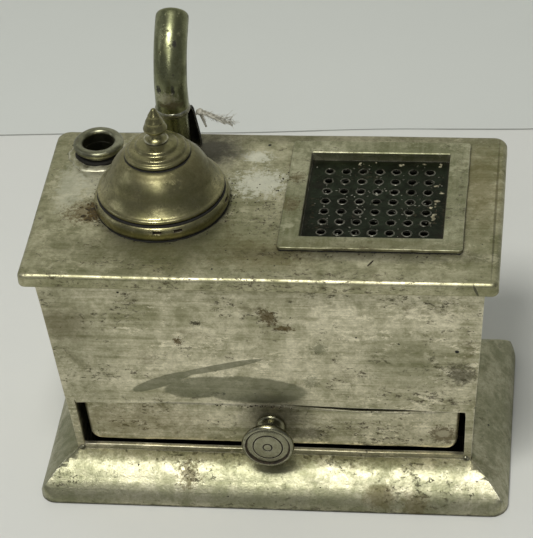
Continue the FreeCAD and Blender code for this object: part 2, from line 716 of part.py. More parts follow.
grate = new_body("grate_plate")
grate_outline = new_sketch(
    grate, "grate_outline", "XY_Plane",
    [rectangle("-basket_in", "basket_in", "-basket_in", "basket_in")])
pad(grate, "grate_sheet_metal", grate_outline, "grate_sheet")
holes = new_sketch(
    grate, "grate_first_hole", "XY_Plane",
    circles=[("-grate_pitch - grate_pitch - grate_pitch",
              "-grate_pitch - grate_pitch - grate_pitch", "grate_hole")],
    offset="grate_sheet + 1.0")
first_hole = pocket(grate, "grate_punch", holes)
grate.Tip = first_hole
many = grate.newObject("PartDesign::MultiTransform", "grate_holes")
many.Originals = [first_hole]
steps = []
for tag, axis in (("x", "H_Axis"), ("y", "V_Axis")):
    run = grate.newObject("PartDesign::LinearPattern", "grate_row_" + tag)
    run.Direction = (holes, [axis])
    run.Occurrences = 7
    run.setExpression("Length", "6 * dims.grate_pitch")
    steps.append(run)
many.Transformations = steps
grate.Tip = many
place(grate, "fire_x", "fire_y", "grate_z")
parts["grate_plate"] = grate

# ---------------------------------------------------------------- boiler and dome
pot = new_body("boiler_pot")
pot_outline = [
    ("0", "pot_low"),
    ("pot_r - 3.0", "pot_low", ("pot_r - 0.88", "pot_low + 0.88")),
    ("pot_r", "pot_low + 3.0"),
    ("pot_r", "deck_top + 1.0"),
    ("pot_r - 1.6", "deck_top + 1.0"),
    ("pot_r - 1.6", "deck_top"),
    ("pot_r - pot_wall", "deck_top"),
    ("pot_r - pot_wall", "pot_low + 3.0", ("pot_r - 1.59", "pot_low + 1.59")),
    ("pot_r - 3.0", "pot_low + pot_wall"),
    ("0", "pot_low + pot_wall"),
]
lathe(pot, "boiler_pot_spun", new_sketch(pot, "pot_outline", "XZ_Plane", [pot_outline]))
place(pot, "dome_x", "dome_y")
parts["boiler_pot"] = pot

seat = new_body("seat_blank")
seat_outline = [
    ("pot_r", "deck_top"),
    ("seat_bulge - 1.3", "deck_top", ("seat_bulge", "deck_top + 2.9")),
    ("seat_bulge - 1.1", "seat_high"),
    ("seat_r + 0.3", "seat_high"),
    ("seat_r", "seat_high - 0.3"),
    ("seat_r", "deck_top + 1.2"),
    ("pot_r", "deck_top + 1.2"),
]
lathe(seat, "seat_turned", new_sketch(seat, "seat_outline", "XZ_Plane", [seat_outline]))
place(seat, "dome_x", "dome_y")

# four shallow key slots in the front half of the ring
slots = []
for number, angle in enumerate((-78.0, -6.0, 12.0, 72.0), start=1):
    slot = doc.addObject("Part::Wedge", "seat_slot_%d" % number)
    limits = [("Xmin", "-1.5"), ("Xmax", "1.5"), ("X2min", "-1.5"), ("X2max", "1.5")]
    limits += [("Ymin", "-seat_bulge - 1.0"), ("Ymax", "-seat_bulge + 0.8")]
    limits += [("Zmin", "3.6"), ("Zmax", "4.5"), ("Z2min", "3.6"), ("Z2max", "4.5")]
    for prop, text in limits:
        setattr(slot, prop, value_of(text))
        bind(slot, prop, text)
    place(slot, "dome_x", "dome_y", "deck_top", yaw=angle)
    slots.append(slot)
parts["seat_ring"] = cut("seat_ring", seat, join("seat_slots", slots))

dome = new_body("dome_cover")
dome_outline = [
    ("spigot_r", "dome_low"),
    ("21.4", "dome_low", ("21.85", "dome_low + 0.75")),
    ("21.4", "dome_low + 1.5"),
    ("20.7", "dome_low + 2.0", ("18.45", "dome_low + 4.7")),
    ("17.4", "dome_low + 7.6", ("15.3", "dome_low + 11.8")),
    ("10.6", "dome_low + 14.4"),
    ("neck_r", "dome_low + 14.4"),
    ("neck_r", "dome_low + 13.4"),
    ("10.2", "dome_low + 13.4", ("14.5", "dome_low + 11.1")),
    ("16.4", "dome_low + 7.4", ("17.5", "dome_low + 4.3")),
    ("spigot_r - 0.7", "dome_low + 1.2"),
    ("spigot_r - 0.1", "dome_low + 0.6"),
]
lathe(dome, "dome_spun", new_sketch(dome, "dome_outline", "XZ_Plane", [dome_outline]))
place(dome, "dome_x", "dome_y")
parts["dome_cover"] = dome

parts["dome_spigot"] = tube(
    "dome_spigot", "dome_x", "dome_y", "spigot_r", "spigot_r - 0.8",
    "deck_top + 1.6", "dome_low + 0.1")

lid = new_body("dome_lid")
lid_outline = [
    ("0", "lid_low"),
    ("lid_r - 0.4", "lid_low"),
    ("lid_r", "lid_low + 0.4"),
    ("lid_r", "lid_low + 1.0", ("lid_r - 0.25", "lid_low + 1.35")),
    ("lid_r - 0.7", "lid_low + 1.5"),
    ("9.9", "lid_low + 1.7"),
    ("9.7", "lid_low + 2.4", ("9.5", "lid_low + 2.7")),
    ("9.2", "lid_low + 2.8"),
    ("7.3", "lid_low + 3.2"),
    ("7.1", "lid_low + 4.0", ("6.9", "lid_low + 4.3")),
    ("6.6", "lid_low + 4.4"),
    ("2.6", "lid_high"),
    ("0", "lid_high"),
]
lathe(lid, "lid_turned", new_sketch(lid, "lid_outline", "XZ_Plane", [lid_outline]))
place(lid, "dome_x", "dome_y")
parts["dome_lid"] = lid

parts["lid_spigot"] = tube(
    "lid_spigot", "dome_x", "dome_y", "neck_r - 0.4", "neck_r - 1.2",
    "lid_low - 4.0", "lid_low")

finial = new_body("lid_finial")
finial_outline = [
    ("0", "lid_high"),
    ("2.4", "lid_high"),
    ("2.0", "lid_high + 0.8"),
    ("2.2", "lid_high + 1.5", ("3.5", "lid_high + 3.2")),
    ("4.2", "lid_high + 5.2", ("4.3", "lid_high + 5.8")),
    ("4.0", "lid_high + 6.3"),
    ("3.1", "lid_high + 7.9"),
    ("3.0", "lid_high + 7.9"),
    ("1.9", "lid_high + 9.8"),
    ("1.7", "lid_high + 9.8"),
    ("1.0", "lid_high + 11.3"),
    ("0.5", "lid_high + 11.9"),
    ("0", "lid_high + 12.0"),
]
lathe(finial, "finial_turned",
      new_sketch(finial, "finial_outline", "XZ_Plane", [finial_outline]))
place(finial, "dome_x", "dome_y")
parts["lid_finial"] = finial

# ---------------------------------------------------------------- filler collar
parts["filler_foot"] = tube(
    "filler_foot", "filler_x", "filler_y", "filler_foot_r", "filler_bore + 0.9",
    "deck_top", "deck_top + filler_foot")

collar = new_body("filler_collar")
collar_outline = [
    ("filler_bore + 0.9", "deck_top + filler_foot"),
    ("filler_r - 1.3", "deck_top + filler_foot"),
    ("filler_r - 1.8", "deck_top + filler_foot + 0.9"),
    ("filler_r - 1.8", "filler_high - 3.0"),
    ("filler_r - 0.9", "filler_high - 2.6", ("filler_r", "filler_high - 1.5")),
    ("filler_r - 0.9", "filler_high - 0.25", ("filler_r - 1.7", "filler_high")),
    ("filler_r - 2.4", "filler_high - 0.15", ("filler_bore + 0.15", "filler_high - 0.7")),
    ("filler_bore", "filler_high - 1.7"),
    ("filler_bore", "deck_top + filler_foot + 0.4"),
    ("filler_bore + 0.9", "deck_top + filler_foot + 0.4"),
]
lathe(collar, "collar_turned",
      new_sketch(collar, "collar_outline", "XZ_Plane", [collar_outline]))
place(collar, "filler_x", "filler_y")
parts["filler_collar"] = collar

parts["filler_tube"] = tube(
    "filler_tube", "filler_x", "filler_y", "filler_bore + 0.9", "filler_bore",
    "filler_low", "deck_top + filler_foot + 0.4")

# ---------------------------------------------------------------- gooseneck pipe
socket = new_body("pipe_socket")
socket_outline = [
    ("socket_bore", "deck_under"),
    ("socket_r", "deck_under"),
    ("socket_r", "socket_bead - 1.2"),
    ("pipe_r - 0.1", "socket_bead - 0.9"),
    ("pipe_r - 0.1", "socket_bead"),
    ("socket_r", "socket_bead"),
    ("socket_r", "socket_high - 0.4"),
    ("socket_r - 0.3", "socket_high"),
    ("socket_bore", "socket_high"),
]
lathe(socket, "socket_turned",
      new_sketch(socket, "socket_outline", "XZ_Plane", [socket_outline]))
place(socket, "pipe_x", "pipe_y")
parts["pipe_socket"] = socket

stay_blank = new_body("stay_blank")
stay_outline = [
    ("2.0", "deck_top"),
    ("8.4", "deck_top"),
    ("8.2", "deck_top + 4.0"),
    ("6.6", "socket_bead - 3.0"),
    ("6.0", "socket_bead - 1.8"),
    ("2.0", "socket_bead - 1.8"),
]
stay_sketch = new_sketch(stay_blank, "stay_outline", "XZ_Plane", [stay_outline], offset="-5.0")
pad(stay_blank, "stay_plate", stay_sketch, "2.0")
place(stay_blank, "pipe_x", "pipe_y")
stay_relief = doc.addObject("Part::Cylinder", "stay_relief")
bind(stay_relief, "Radius", "socket_r")
bind(stay_relief, "Height", "30.0")
place(stay_relief, "pipe_x", "pipe_y", "deck_top - 1.0")
parts["pipe_stay"] = cut("pipe_stay", stay_blank, stay_relief)

pipe = new_body("gooseneck_pipe")
route = pipe.newObject("Sketcher::SketchObject", "pipe_route")
side_plane = [f for f in pipe.Origin.OriginFeatures if f.Role == "YZ_Plane"][0]
route.AttachmentSupport = [(side_plane, "")]
route.MapMode = "FlatFace"
rise = value_of("pipe_straight")
bend = value_of("pipe_bend")
turn = math.radians(value_of("pipe_turn"))
route.addGeometry(Part.LineSegment(Vector(0, 0, 0), Vector(0, rise, 0)), False)
centre = Vector(bend, rise, 0)
sweep = Part.ArcOfCircle(
    Part.Circle(centre, Vector(0, 0, 1), bend), math.pi - turn, math.pi)
route.addGeometry(sweep, False)
route.addConstraint(Sketcher.Constraint("Coincident", 0, 1, -1, 1))
route.addConstraint(Sketcher.Constraint("Vertical", 0))
route.addConstraint(Sketcher.Constraint("Tangent", 0, 2, 1, 2))
for label, first, prop in (("Distance", 0, "pipe_straight"), ("Radius", 1, "pipe_bend")):
    number = route.addConstraint(Sketcher.Constraint(label, first, value_of(prop)))
    route.setExpression("Constraints[%d]" % number, formula_of(prop))
number = route.addConstraint(Sketcher.Constraint("Angle", 1, turn))
route.setExpression("Constraints[%d]" % number, "dims.pipe_turn * 1 deg")
wall = new_sketch(
    pipe, "pipe_wall", "XY_Plane", circles=[("0", "0", "pipe_r"), ("0", "0", "pipe_bore")])
bent = pipe.newObject("PartDesign::AdditivePipe", "pipe_bent")
bent.Profile = wall
bent.Spine = route
doc.recompute()
place(pipe, "pipe_x", "pipe_y", "pipe_low")
parts["gooseneck_pipe"] = pipe

# the pipe's straight outlet carries on from the end of the bend
outlet_outer = doc.addObject("Part::Cylinder", "outlet_outer")
bind(outlet_outer, "Radius", "pipe_r")
outlet_inner = doc.addObject("Part::Cylinder", "outlet_inner")
bind(outlet_inner, "Radius", "pipe_bore")
for outlet in (outlet_outer, outlet_inner):
    bind(outlet, "Height", "pipe_end")
    outlet.Placement = Placement(
        Vector(value_of("pipe_x"), value_of("outlet_y"), value_of("outlet_z")),
        Rotation(Vector(1, 0, 0), -value_of("pipe_turn")))
    bind(outlet, "Placement.Base.x", "pipe_x")
    bind(outlet, "Placement.Base.y", "outlet_y")
    bind(outlet, "Placement.Base.z", "outlet_z")
parts["pipe_outlet"] = cut("pipe_outlet", outlet_outer, outlet_inner)

# ---------------------------------------------------------------- check and export
doc.recompute()
for item in doc.Objects:
    if "Invalid" in item.State or "Error" in item.State:
        raise RuntimeError("%s did not rebuild" % item.Name)
for name, item in parts.items():
    shape = item.Shape
    if shape.isNull() or not shape.isValid() or shape.Volume <= 0:
        raise RuntimeError("%s has no valid solid" % name)
    if len(shape.Solids) != 1:
        raise RuntimeError("%s has %d solids" % (name, len(shape.Solids)))
    shape.exportStep("parts/%s.step" % name)
    box = shape.BoundBox
    print("%-20s %9.1f mm3  x %7.2f %7.2f  y %7.2f %7.2f  z %7.2f %7.2f" % (
        name, shape.Volume, box.XMin, box.XMax, box.YMin, box.YMax, box.ZMin, box.ZMax))
print("%d parts" % len(parts))
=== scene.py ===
import json
import math
import random

import bmesh
import bpy
from mathutils import Matrix, Quaternion, Vector, noise


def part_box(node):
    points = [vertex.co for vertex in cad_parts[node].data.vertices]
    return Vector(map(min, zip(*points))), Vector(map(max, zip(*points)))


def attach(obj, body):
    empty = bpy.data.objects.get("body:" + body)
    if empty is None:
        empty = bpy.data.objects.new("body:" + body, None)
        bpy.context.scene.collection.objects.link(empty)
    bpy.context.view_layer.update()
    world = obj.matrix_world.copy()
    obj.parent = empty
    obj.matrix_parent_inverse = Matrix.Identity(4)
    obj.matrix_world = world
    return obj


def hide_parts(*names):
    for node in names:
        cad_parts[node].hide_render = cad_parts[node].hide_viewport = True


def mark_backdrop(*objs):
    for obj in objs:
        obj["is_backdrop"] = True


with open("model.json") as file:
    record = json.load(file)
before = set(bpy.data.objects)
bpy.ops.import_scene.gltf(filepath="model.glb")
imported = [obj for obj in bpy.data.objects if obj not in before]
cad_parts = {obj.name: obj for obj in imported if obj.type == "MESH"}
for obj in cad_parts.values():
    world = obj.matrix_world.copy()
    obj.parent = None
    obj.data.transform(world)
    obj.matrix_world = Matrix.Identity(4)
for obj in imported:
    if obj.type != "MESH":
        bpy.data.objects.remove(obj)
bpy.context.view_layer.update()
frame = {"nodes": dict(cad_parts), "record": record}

# Everything is modelled in millimetres and stored in metres.
MM = 0.001
scene = bpy.context.scene


# ------------------------------------------------------------------ shader wiring
class Wiring:
    """Adds shader nodes to one tree and joins their sockets."""

    def __init__(self, tree):
        self.tree = tree

    def put(self, kind, **settings):
        node = self.tree.nodes.new(kind)
        for name, value in settings.items():
            setattr(node, name, value)
        return node

    def feed(self, socket, value):
        if isinstance(value, bpy.types.NodeSocket):
            self.tree.links.new(value, socket)
        elif value is not None:
            socket.default_value = value

    def sum(self, operation, a, b=None, clamp=False):
        node = self.put("ShaderNodeMath", operation=operation, use_clamp=clamp)
        self.feed(node.inputs[0], a)
        self.feed(node.inputs[1], b)
        return node.outputs[0]

    def vector_sum(self, operation, a, b=None):
        node = self.put("ShaderNodeVectorMath", operation=operation)
        self.feed(node.inputs[0], a)
        self.feed(node.inputs[1], b)
        return node.outputs["Value" if operation in ("LENGTH", "DOT_PRODUCT") else "Vector"]

    def colour_mix(self, share, a, b, style="MIX"):
        node = self.put("ShaderNodeMix", data_type="RGBA", blend_type=style)
        self.feed(node.inputs[0], share)
        self.feed(node.inputs[6], a)
        self.feed(node.inputs[7], b)
        return node.outputs[2]

    def value_mix(self, share, a, b):
        node = self.put("ShaderNodeMix", data_type="FLOAT")
        self.feed(node.inputs[0], share)
        self.feed(node.inputs[2], a)
        self.feed(node.inputs[3], b)
        return node.outputs[0]

    def step(self, value, low, high):
        """0 below low, 1 above high, smooth between."""
        node = self.put("ShaderNodeMapRange", interpolation_type="SMOOTHSTEP")
        self.feed(node.inputs["Value"], value)
        self.feed(node.inputs["From Min"], low)
        self.feed(node.inputs["From Max"], high)
        return node.outputs["Result"]

    def noise(self, place, size, detail=4.0, rough=0.55, twist=0.0, seed=0.0):
        """Cloudy noise whose lumps are about size mm across."""
        node = self.put("ShaderNodeTexNoise", noise_dimensions="4D")
        self.feed(node.inputs["Vector"], place)
        self.feed(node.inputs["W"], seed)
        node.inputs["Scale"].default_value = 1.0 / size
        node.inputs["Detail"].default_value = detail
        node.inputs["Roughness"].default_value = rough
        node.inputs["Distortion"].default_value = twist
        return node.outputs["Fac"]

    def bend(self, place, size, seed):
        """A small random shift, for bending a pattern's edges."""
        node = self.put("ShaderNodeTexNoise", noise_dimensions="4D")
        self.feed(node.inputs["Vector"], place)
        self.feed(node.inputs["W"], seed)
        node.inputs["Scale"].default_value = 1.0 / size
        node.inputs["Detail"].default_value = 3.0
        return node.outputs["Color"]

    def place_in_mm(self):
        place = self.put("ShaderNodeTexCoord").outputs["Object"]
        return self.vector_sum("MULTIPLY", place, (1000.0, 1000.0, 1000.0))

    def group(self, tree, **inputs):
        node = self.put("ShaderNodeGroup")
        node.node_tree = tree
        for name, value in inputs.items():
            self.feed(node.inputs[name.replace("_", " ")], value)
        return node


def new_group(name, inputs, outputs):
    """A shader node group with named sockets: (kind, name, default) for inputs."""
    tree = bpy.data.node_groups.new(name, "ShaderNodeTree")
    for kind, label, default in inputs:
        socket = tree.interface.new_socket(label, in_out="INPUT", socket_type="NodeSocket" + kind)
        if default is not None:
            socket.default_value = default
    for kind, label in outputs:
        tree.interface.new_socket(label, in_out="OUTPUT", socket_type="NodeSocket" + kind)
    wiring = Wiring(tree)
    entry = wiring.put("NodeGroupInput")
    exit_ = wiring.put("NodeGroupOutput")
    return tree, wiring, entry.outputs, exit_.inputs


def make_weathering():
    """Clouds, mottling, pits and stains of old plated sheet."""
    tree, w, given, out = new_group(
        "weathering",
        [("Vector", "Place", None), ("Float", "Seed", 0.0), ("Float", "Crowd", 0.0)],
        [("Float", "Cloud"), ("Float", "Mottle"), ("Float", "Speckle"), ("Float", "Pits"),
         ("Float", "Stain"), ("Float", "Crust"), ("Float", "Flecks"), ("Float", "Scrapes")])
    place, seed = given["Place"], given["Seed"]
    cloud = w.noise(place, 34.0, 3.0, 0.5, 0.4, seed)
    mottle = w.noise(place, 6.0, 7.0, 0.68, 0.3, seed)
    speckle = w.noise(place, 0.75, 3.0, 0.7, 0.0, seed)
    bent = w.vector_sum("ADD", place, w.bend(place, 0.9, seed))
    cells = w.put("ShaderNodeTexVoronoi", voronoi_dimensions="3D", feature="F1")
    w.feed(cells.inputs["Vector"], bent)
    cells.inputs["Scale"].default_value = 1.0 / 3.6
    chance = w.put("ShaderNodeSeparateColor")
    w.feed(chance.inputs[0], cells.outputs["Color"])
    rarity = w.step(chance.outputs[0], 0.80, 1.0)
    size = w.sum("MULTIPLY", rarity, 0.13)
    near = w.sum("SUBTRACT", size, cells.outputs["Distance"])
    pits = w.step(near, 0.0, 0.035)
    patchy = w.step(w.noise(place, 17.0, 2.0, 0.5, 0.0, w.sum("ADD", seed, 3.0)), 0.46, 0.62)
    stain = w.step(w.noise(place, 13.0, 10.0, 0.74, 0.7, w.sum("ADD", seed, 7.0)), 0.54, 0.68)
    crumbs = w.step(w.noise(place, 1.7, 6.0, 0.80, 0.5, w.sum("ADD", seed, 5.0)), 0.57, 0.64)
    crust = w.sum("MULTIPLY", crumbs, patchy)
    drawn = w.vector_sum("MULTIPLY", place, (0.50, 0.8, 1.0))
    dashes = w.noise(drawn, 1.15, 6.0, 0.80, 0.4, w.sum("ADD", seed, 13.0))
    herds = w.step(w.noise(place, 17.0, 5.0, 0.65, 0.3, w.sum("ADD", seed, 15.0)), 0.42, 0.66)
    crowd = w.sum("MAXIMUM", herds, given["Crowd"])
    bar = w.sum("SUBTRACT", 0.685, w.sum("MULTIPLY", crowd, 0.155))
    flecks = w.step(dashes, bar, w.sum("ADD", bar, 0.035))
    rubbed = w.step(w.noise(drawn, 3.2, 7.0, 0.80, 0.3, w.sum("ADD", seed, 17.0)), 0.53, 0.59)
    worn = w.step(w.noise(place, 26.0, 4.0, 0.6, 0.3, w.sum("ADD", seed, 19.0)), 0.42, 0.60)
    scrapes = w.sum("MULTIPLY", rubbed, worn)
    for label, value in (("Cloud", cloud), ("Mottle", mottle), ("Speckle", speckle),
                         ("Pits", pits), ("Stain", stain), ("Crust", crust),
                         ("Flecks", flecks), ("Scrapes", scrapes)):
        w.feed(out[label], value)
    return tree


def make_brushing():
    """Long fine scratches left by polishing along one direction."""
    tree, w, given, out = new_group(
        "brushing",
        [("Vector", "Place", None), ("Vector", "Squeeze", (0.03, 1.0, 1.0)), ("Float", "Seed", 0.0)],
        [("Float", "Streak"), ("Float", "Scratch")])
    stretched = w.vector_sum("MULTIPLY", given["Place"], given["Squeeze"])
    streak = w.noise(stretched, 2.6, 4.0, 0.6, 0.1, given["Seed"])
    fine = w.noise(stretched, 0.35, 2.0, 0.7, 0.0, w.sum("ADD", given["Seed"], 2.0))
    w.feed(out["Streak"], streak)
    w.feed(out["Scratch"], fine)
    return tree


def make_edge_wear():
    """1 on outer edges, broken up so that the wear isn't even."""
    tree, w, given, out = new_group(
        "edge_wear",
        [("Vector", "Place", None), ("Float", "Width", 0.0005)],
        [("Float", "Edge")])
    bevel = w.put("ShaderNodeBevel", samples=4)
    w.feed(bevel.inputs["Radius"], given["Width"])
    flat = w.put("ShaderNodeNewGeometry")
    turn = w.vector_sum("DOT_PRODUCT", bevel.outputs[0], flat.outputs["Normal"])
    edge = w.step(turn, 0.995, 0.90)
    uneven = w.step(w.noise(given["Place"], 3.0, 4.0, 0.6), 0.30, 0.60)
    w.feed(out["Edge"], w.sum("MULTIPLY", edge, uneven))
    return tree


def make_corner_grime_and_shade():
    """1 in creases and along joints, found by ambient occlusion: where dirt stays and where shade
    falls, so it paints shade as well as dirt.
    """
    tree, w, given, out = new_group(
        "corner_grime_and_shade",
        [("Vector", "Place", None), ("Float", "Reach", 0.003)],
        [("Float", "GrimeAndShade")])
    # ambient occlusion: the mask is 1 where light is shut out, and it darkens colour there as painted
    # shade as well as dirt
    shade = w.put("ShaderNodeAmbientOcclusion", samples=8)
    w.feed(shade.inputs["Distance"], given["Reach"])
    closed = w.step(shade.outputs["AO"], 0.86, 0.35)
    uneven = w.step(w.noise(given["Place"], 2.2, 5.0, 0.65), 0.22, 0.60)
    w.feed(out["GrimeAndShade"], w.sum("MULTIPLY", closed, uneven))
    return tree


def make_patch():
    """A ragged blot of a given reach around a centre, both in mm."""
    tree, w, given, out = new_group(
        "patch",
        [("Vector", "Place", None), ("Vector", "Centre", (0, 0, 0)), ("Vector", "Reach", (5, 5, 5)),
         ("Float", "Turn", 0.0), ("Float", "Ragged", 0.5), ("Float", "Grain", 3.0),
         ("Float", "Soft", 0.3)],
        [("Float", "Mask")])
    away = w.vector_sum("SUBTRACT", given["Place"], given["Centre"])
    spin = w.put("ShaderNodeVectorRotate", rotation_type="Y_AXIS")
    w.feed(spin.inputs["Vector"], away)
    w.feed(spin.inputs["Angle"], given["Turn"])
    share = w.vector_sum("DIVIDE", spin.outputs[0], given["Reach"])
    size = w.vector_sum("LENGTH", share)
    grain = w.put("ShaderNodeTexNoise")
    w.feed(grain.inputs["Vector"], given["Place"])
    w.feed(grain.inputs["Scale"], w.sum("DIVIDE", 1.0, given["Grain"]))
    grain.inputs["Detail"].default_value = 7.0
    grain.inputs["Roughness"].default_value = 0.78
    shift = w.sum("MULTIPLY", w.sum("SUBTRACT", grain.outputs["Fac"], 0.5), given["Ragged"])
    bent = w.sum("ADD", size, w.sum("MULTIPLY", shift, 4.0))
    far = w.sum("ADD", 1.0, given["Soft"])
    near = w.sum("SUBTRACT", 1.0, given["Soft"])
    w.feed(out["Mask"], w.step(bent, far, near))
    return tree


WEATHERING = make_weathering()
BRUSHING = make_brushing()
EDGE_WEAR = make_edge_wear()
CORNER_GRIME_AND_SHADE = make_corner_grime_and_shade()
PATCH = make_patch()


# ------------------------------------------------------------------ finishes
def rgb(red, green, blue):
    """A colour given as it looks on screen, 0 to 255, for a shader socket."""
    def line(level):
        share = level / 255
        return share / 12.92 if share <= 0.04045 else ((share + 0.055) / 1.055) ** 2.4
    return (line(red), line(green), line(blue), 1.0)


def blot(w, place, centre, reach, turn, ragged, soft, grain):
    """The mask of one ragged blot, its turn in degrees."""
    return w.group(PATCH, Place=place, Centre=centre, Reach=reach, Turn=math.radians(turn),
                   Ragged=ragged, Soft=soft, Grain=grain).outputs["Mask"]


def joined_blots(w, place, blots, ragged, soft, grain):
    """One mask over several blots, each (centre, reach, turn), or None without any."""
    joined = None
    for centre, reach, turn in blots:
        mask = blot(w, place, centre, reach, turn, ragged, soft, grain)
        joined = mask if joined is None else w.sum("MAXIMUM", joined, mask)
    return joined


def aged_metal(name, light, dark, warm, roughness=0.4, squeeze=(0.03, 1, 1), seed=0.0,
               stain=0.5, crust=0.6, grime_and_shade=0.9, edge=0.5, mottle=0.5, streaks=0.3,
               bump=1.0, grime_and_shade_reach=0.003, fleck=0.7, scrape=0.5, crowded=(), wiped=(),
               patches=()):
    """Old plated or polished metal with tarnish, pits, stains, worn edges, and dirt with painted shade
    in joints and creases.

    patches are (centre, reach, turn, ragged, soft, grain, colour, strength, shine), in mm.
    crowded are the places, each (centre, reach, turn), where dark flecks lie thick.
    wiped is one smooth grey mark made of several blots, each (centre, reach, turn).
    """
    material = bpy.data.materials.new(name)
    material.use_nodes = True
    tree = material.node_tree
    tree.nodes.clear()
    w = Wiring(tree)
    shader = w.put("ShaderNodeBsdfPrincipled")
    output = w.put("ShaderNodeOutputMaterial")
    tree.links.new(shader.outputs[0], output.inputs["Surface"])
    place = w.place_in_mm()

    crowd = joined_blots(w, place, crowded, 0.5, 0.85, 3.0)
    worn = w.group(WEATHERING, Place=place, Seed=seed, Crowd=crowd).outputs
    brushed = w.group(BRUSHING, Place=place, Squeeze=squeeze, Seed=seed).outputs
    edges = w.group(EDGE_WEAR, Place=place).outputs
    joints = w.group(CORNER_GRIME_AND_SHADE, Place=place, Reach=grime_and_shade_reach).outputs

    cloud = w.step(worn["Cloud"], 0.32, 0.68)
    patchy = w.step(worn["Mottle"], 0.40, 0.62)
    speck = w.step(worn["Speckle"], 0.40, 0.66)
    streak = w.step(brushed["Streak"], 0.34, 0.66)
    scratch = w.step(brushed["Scratch"], 0.50, 0.68)
    grain = w.step(w.noise(place, 1.9, 6.0, 0.75, 0.2, w.sum("ADD", seed, 11.0)), 0.34, 0.66)
    stained = w.sum("MULTIPLY", worn["Stain"], stain)
    crusted = w.sum("MULTIPLY", worn["Crust"], crust)
    flecked = w.sum("MULTIPLY", worn["Flecks"], fleck)
    pitted = worn["Pits"]
    dirt_and_shade = w.sum("MULTIPLY", joints["GrimeAndShade"], grime_and_shade)
    bright = w.sum("MULTIPLY", edges["Edge"], edge)

    # the layers of colour, lowest first
    colour = w.colour_mix(w.sum("MULTIPLY", cloud, 0.75), light, dark)
    for mask, strength, tint in (
            (patchy, mottle, dark), (streak, streaks, light), (scratch, streaks * 0.8, dark),
            (speck, mottle * 0.35, warm), (grain, mottle * 0.45, dark),
            (worn["Scrapes"], scrape, light)):
        colour = w.colour_mix(w.sum("MULTIPLY", mask, strength), colour, tint)
    # the crease mask from ambient occlusion darkens colour as dirt and as painted shade
    for mask, tint in (
            (stained, warm), (crusted, rgb(62, 54, 28)), (flecked, rgb(58, 47, 20)),
            (pitted, rgb(34, 28, 16)), (dirt_and_shade, rgb(40, 36, 24)), (bright, rgb(225, 222, 205))):
        colour = w.colour_mix(mask, colour, tint)

    rough = w.value_mix(patchy, roughness - 0.04, roughness + 0.08)
    for mask, level in (
            (w.sum("MULTIPLY", streak, 0.4), roughness - 0.05), (stained, roughness + 0.18),
            (w.sum("MAXIMUM", crusted, dirt_and_shade), 0.75), (bright, 0.28)):
        rough = w.value_mix(mask, rough, level)
    dull = w.sum("MAXIMUM", crusted, pitted)
    for mask in (dirt_and_shade, flecked):
        dull = w.sum("MAXIMUM", dull, w.sum("MULTIPLY", mask, 0.9))
    shine = w.value_mix(dull, w.value_mix(stained, 1.0, 0.75), 0.1)

    for centre, reach, turn, ragged, soft, coarse, tint, strength, polish in patches:
        mask = blot(w, place, centre, reach, turn, ragged, soft, coarse)
        mask = w.sum("MULTIPLY", mask, strength)
        colour = w.colour_mix(mask, colour, tint)
        rough = w.value_mix(mask, rough, 0.62)
        shine = w.value_mix(mask, shine, polish)

    mark = joined_blots(w, place, wiped, 0.10, 0.07, 7.0)
    if mark:
        mark = w.sum("MULTIPLY", mark, 0.72)
        colour = w.colour_mix(mark, colour, SMOKE)
        rough = w.value_mix(mark, rough, 0.34)

    height = w.sum("MULTIPLY", worn["Mottle"], 0.10)
    for layer, depth in ((worn["Speckle"], 0.055), (brushed["Scratch"], 0.020),
                         (brushed["Streak"], 0.035), (crusted, 0.10)):
        height = w.sum("ADD", height, w.sum("MULTIPLY", layer, depth))
    hollows = w.sum("MULTIPLY", w.sum("MAXIMUM", pitted, flecked), 0.10)
    relief = w.put("ShaderNodeBump")
    relief.inputs["Strength"].default_value = 0.55 * bump
    relief.inputs["Distance"].default_value = 1.0 * MM
    w.feed(relief.inputs["Height"], w.sum("SUBTRACT", height, hollows))

    w.feed(shader.inputs["Base Color"], colour)
    w.feed(shader.inputs["Roughness"], rough)
    w.feed(shader.inputs["Metallic"], shine)
    w.feed(shader.inputs["Normal"], relief.outputs[0])
    shader.inputs["Specular IOR Level"].default_value = 0.4
    return material


LIME = rgb(206, 206, 188)
RUST = rgb(84, 68, 22)
UMBER = rgb(54, 50, 22)
SMOKE = rgb(104, 106, 84)
# near-black, used for soot and, in some patches, for painted shadow and painted reflection
SOOT_AND_SHADE = rgb(24, 22, 14)

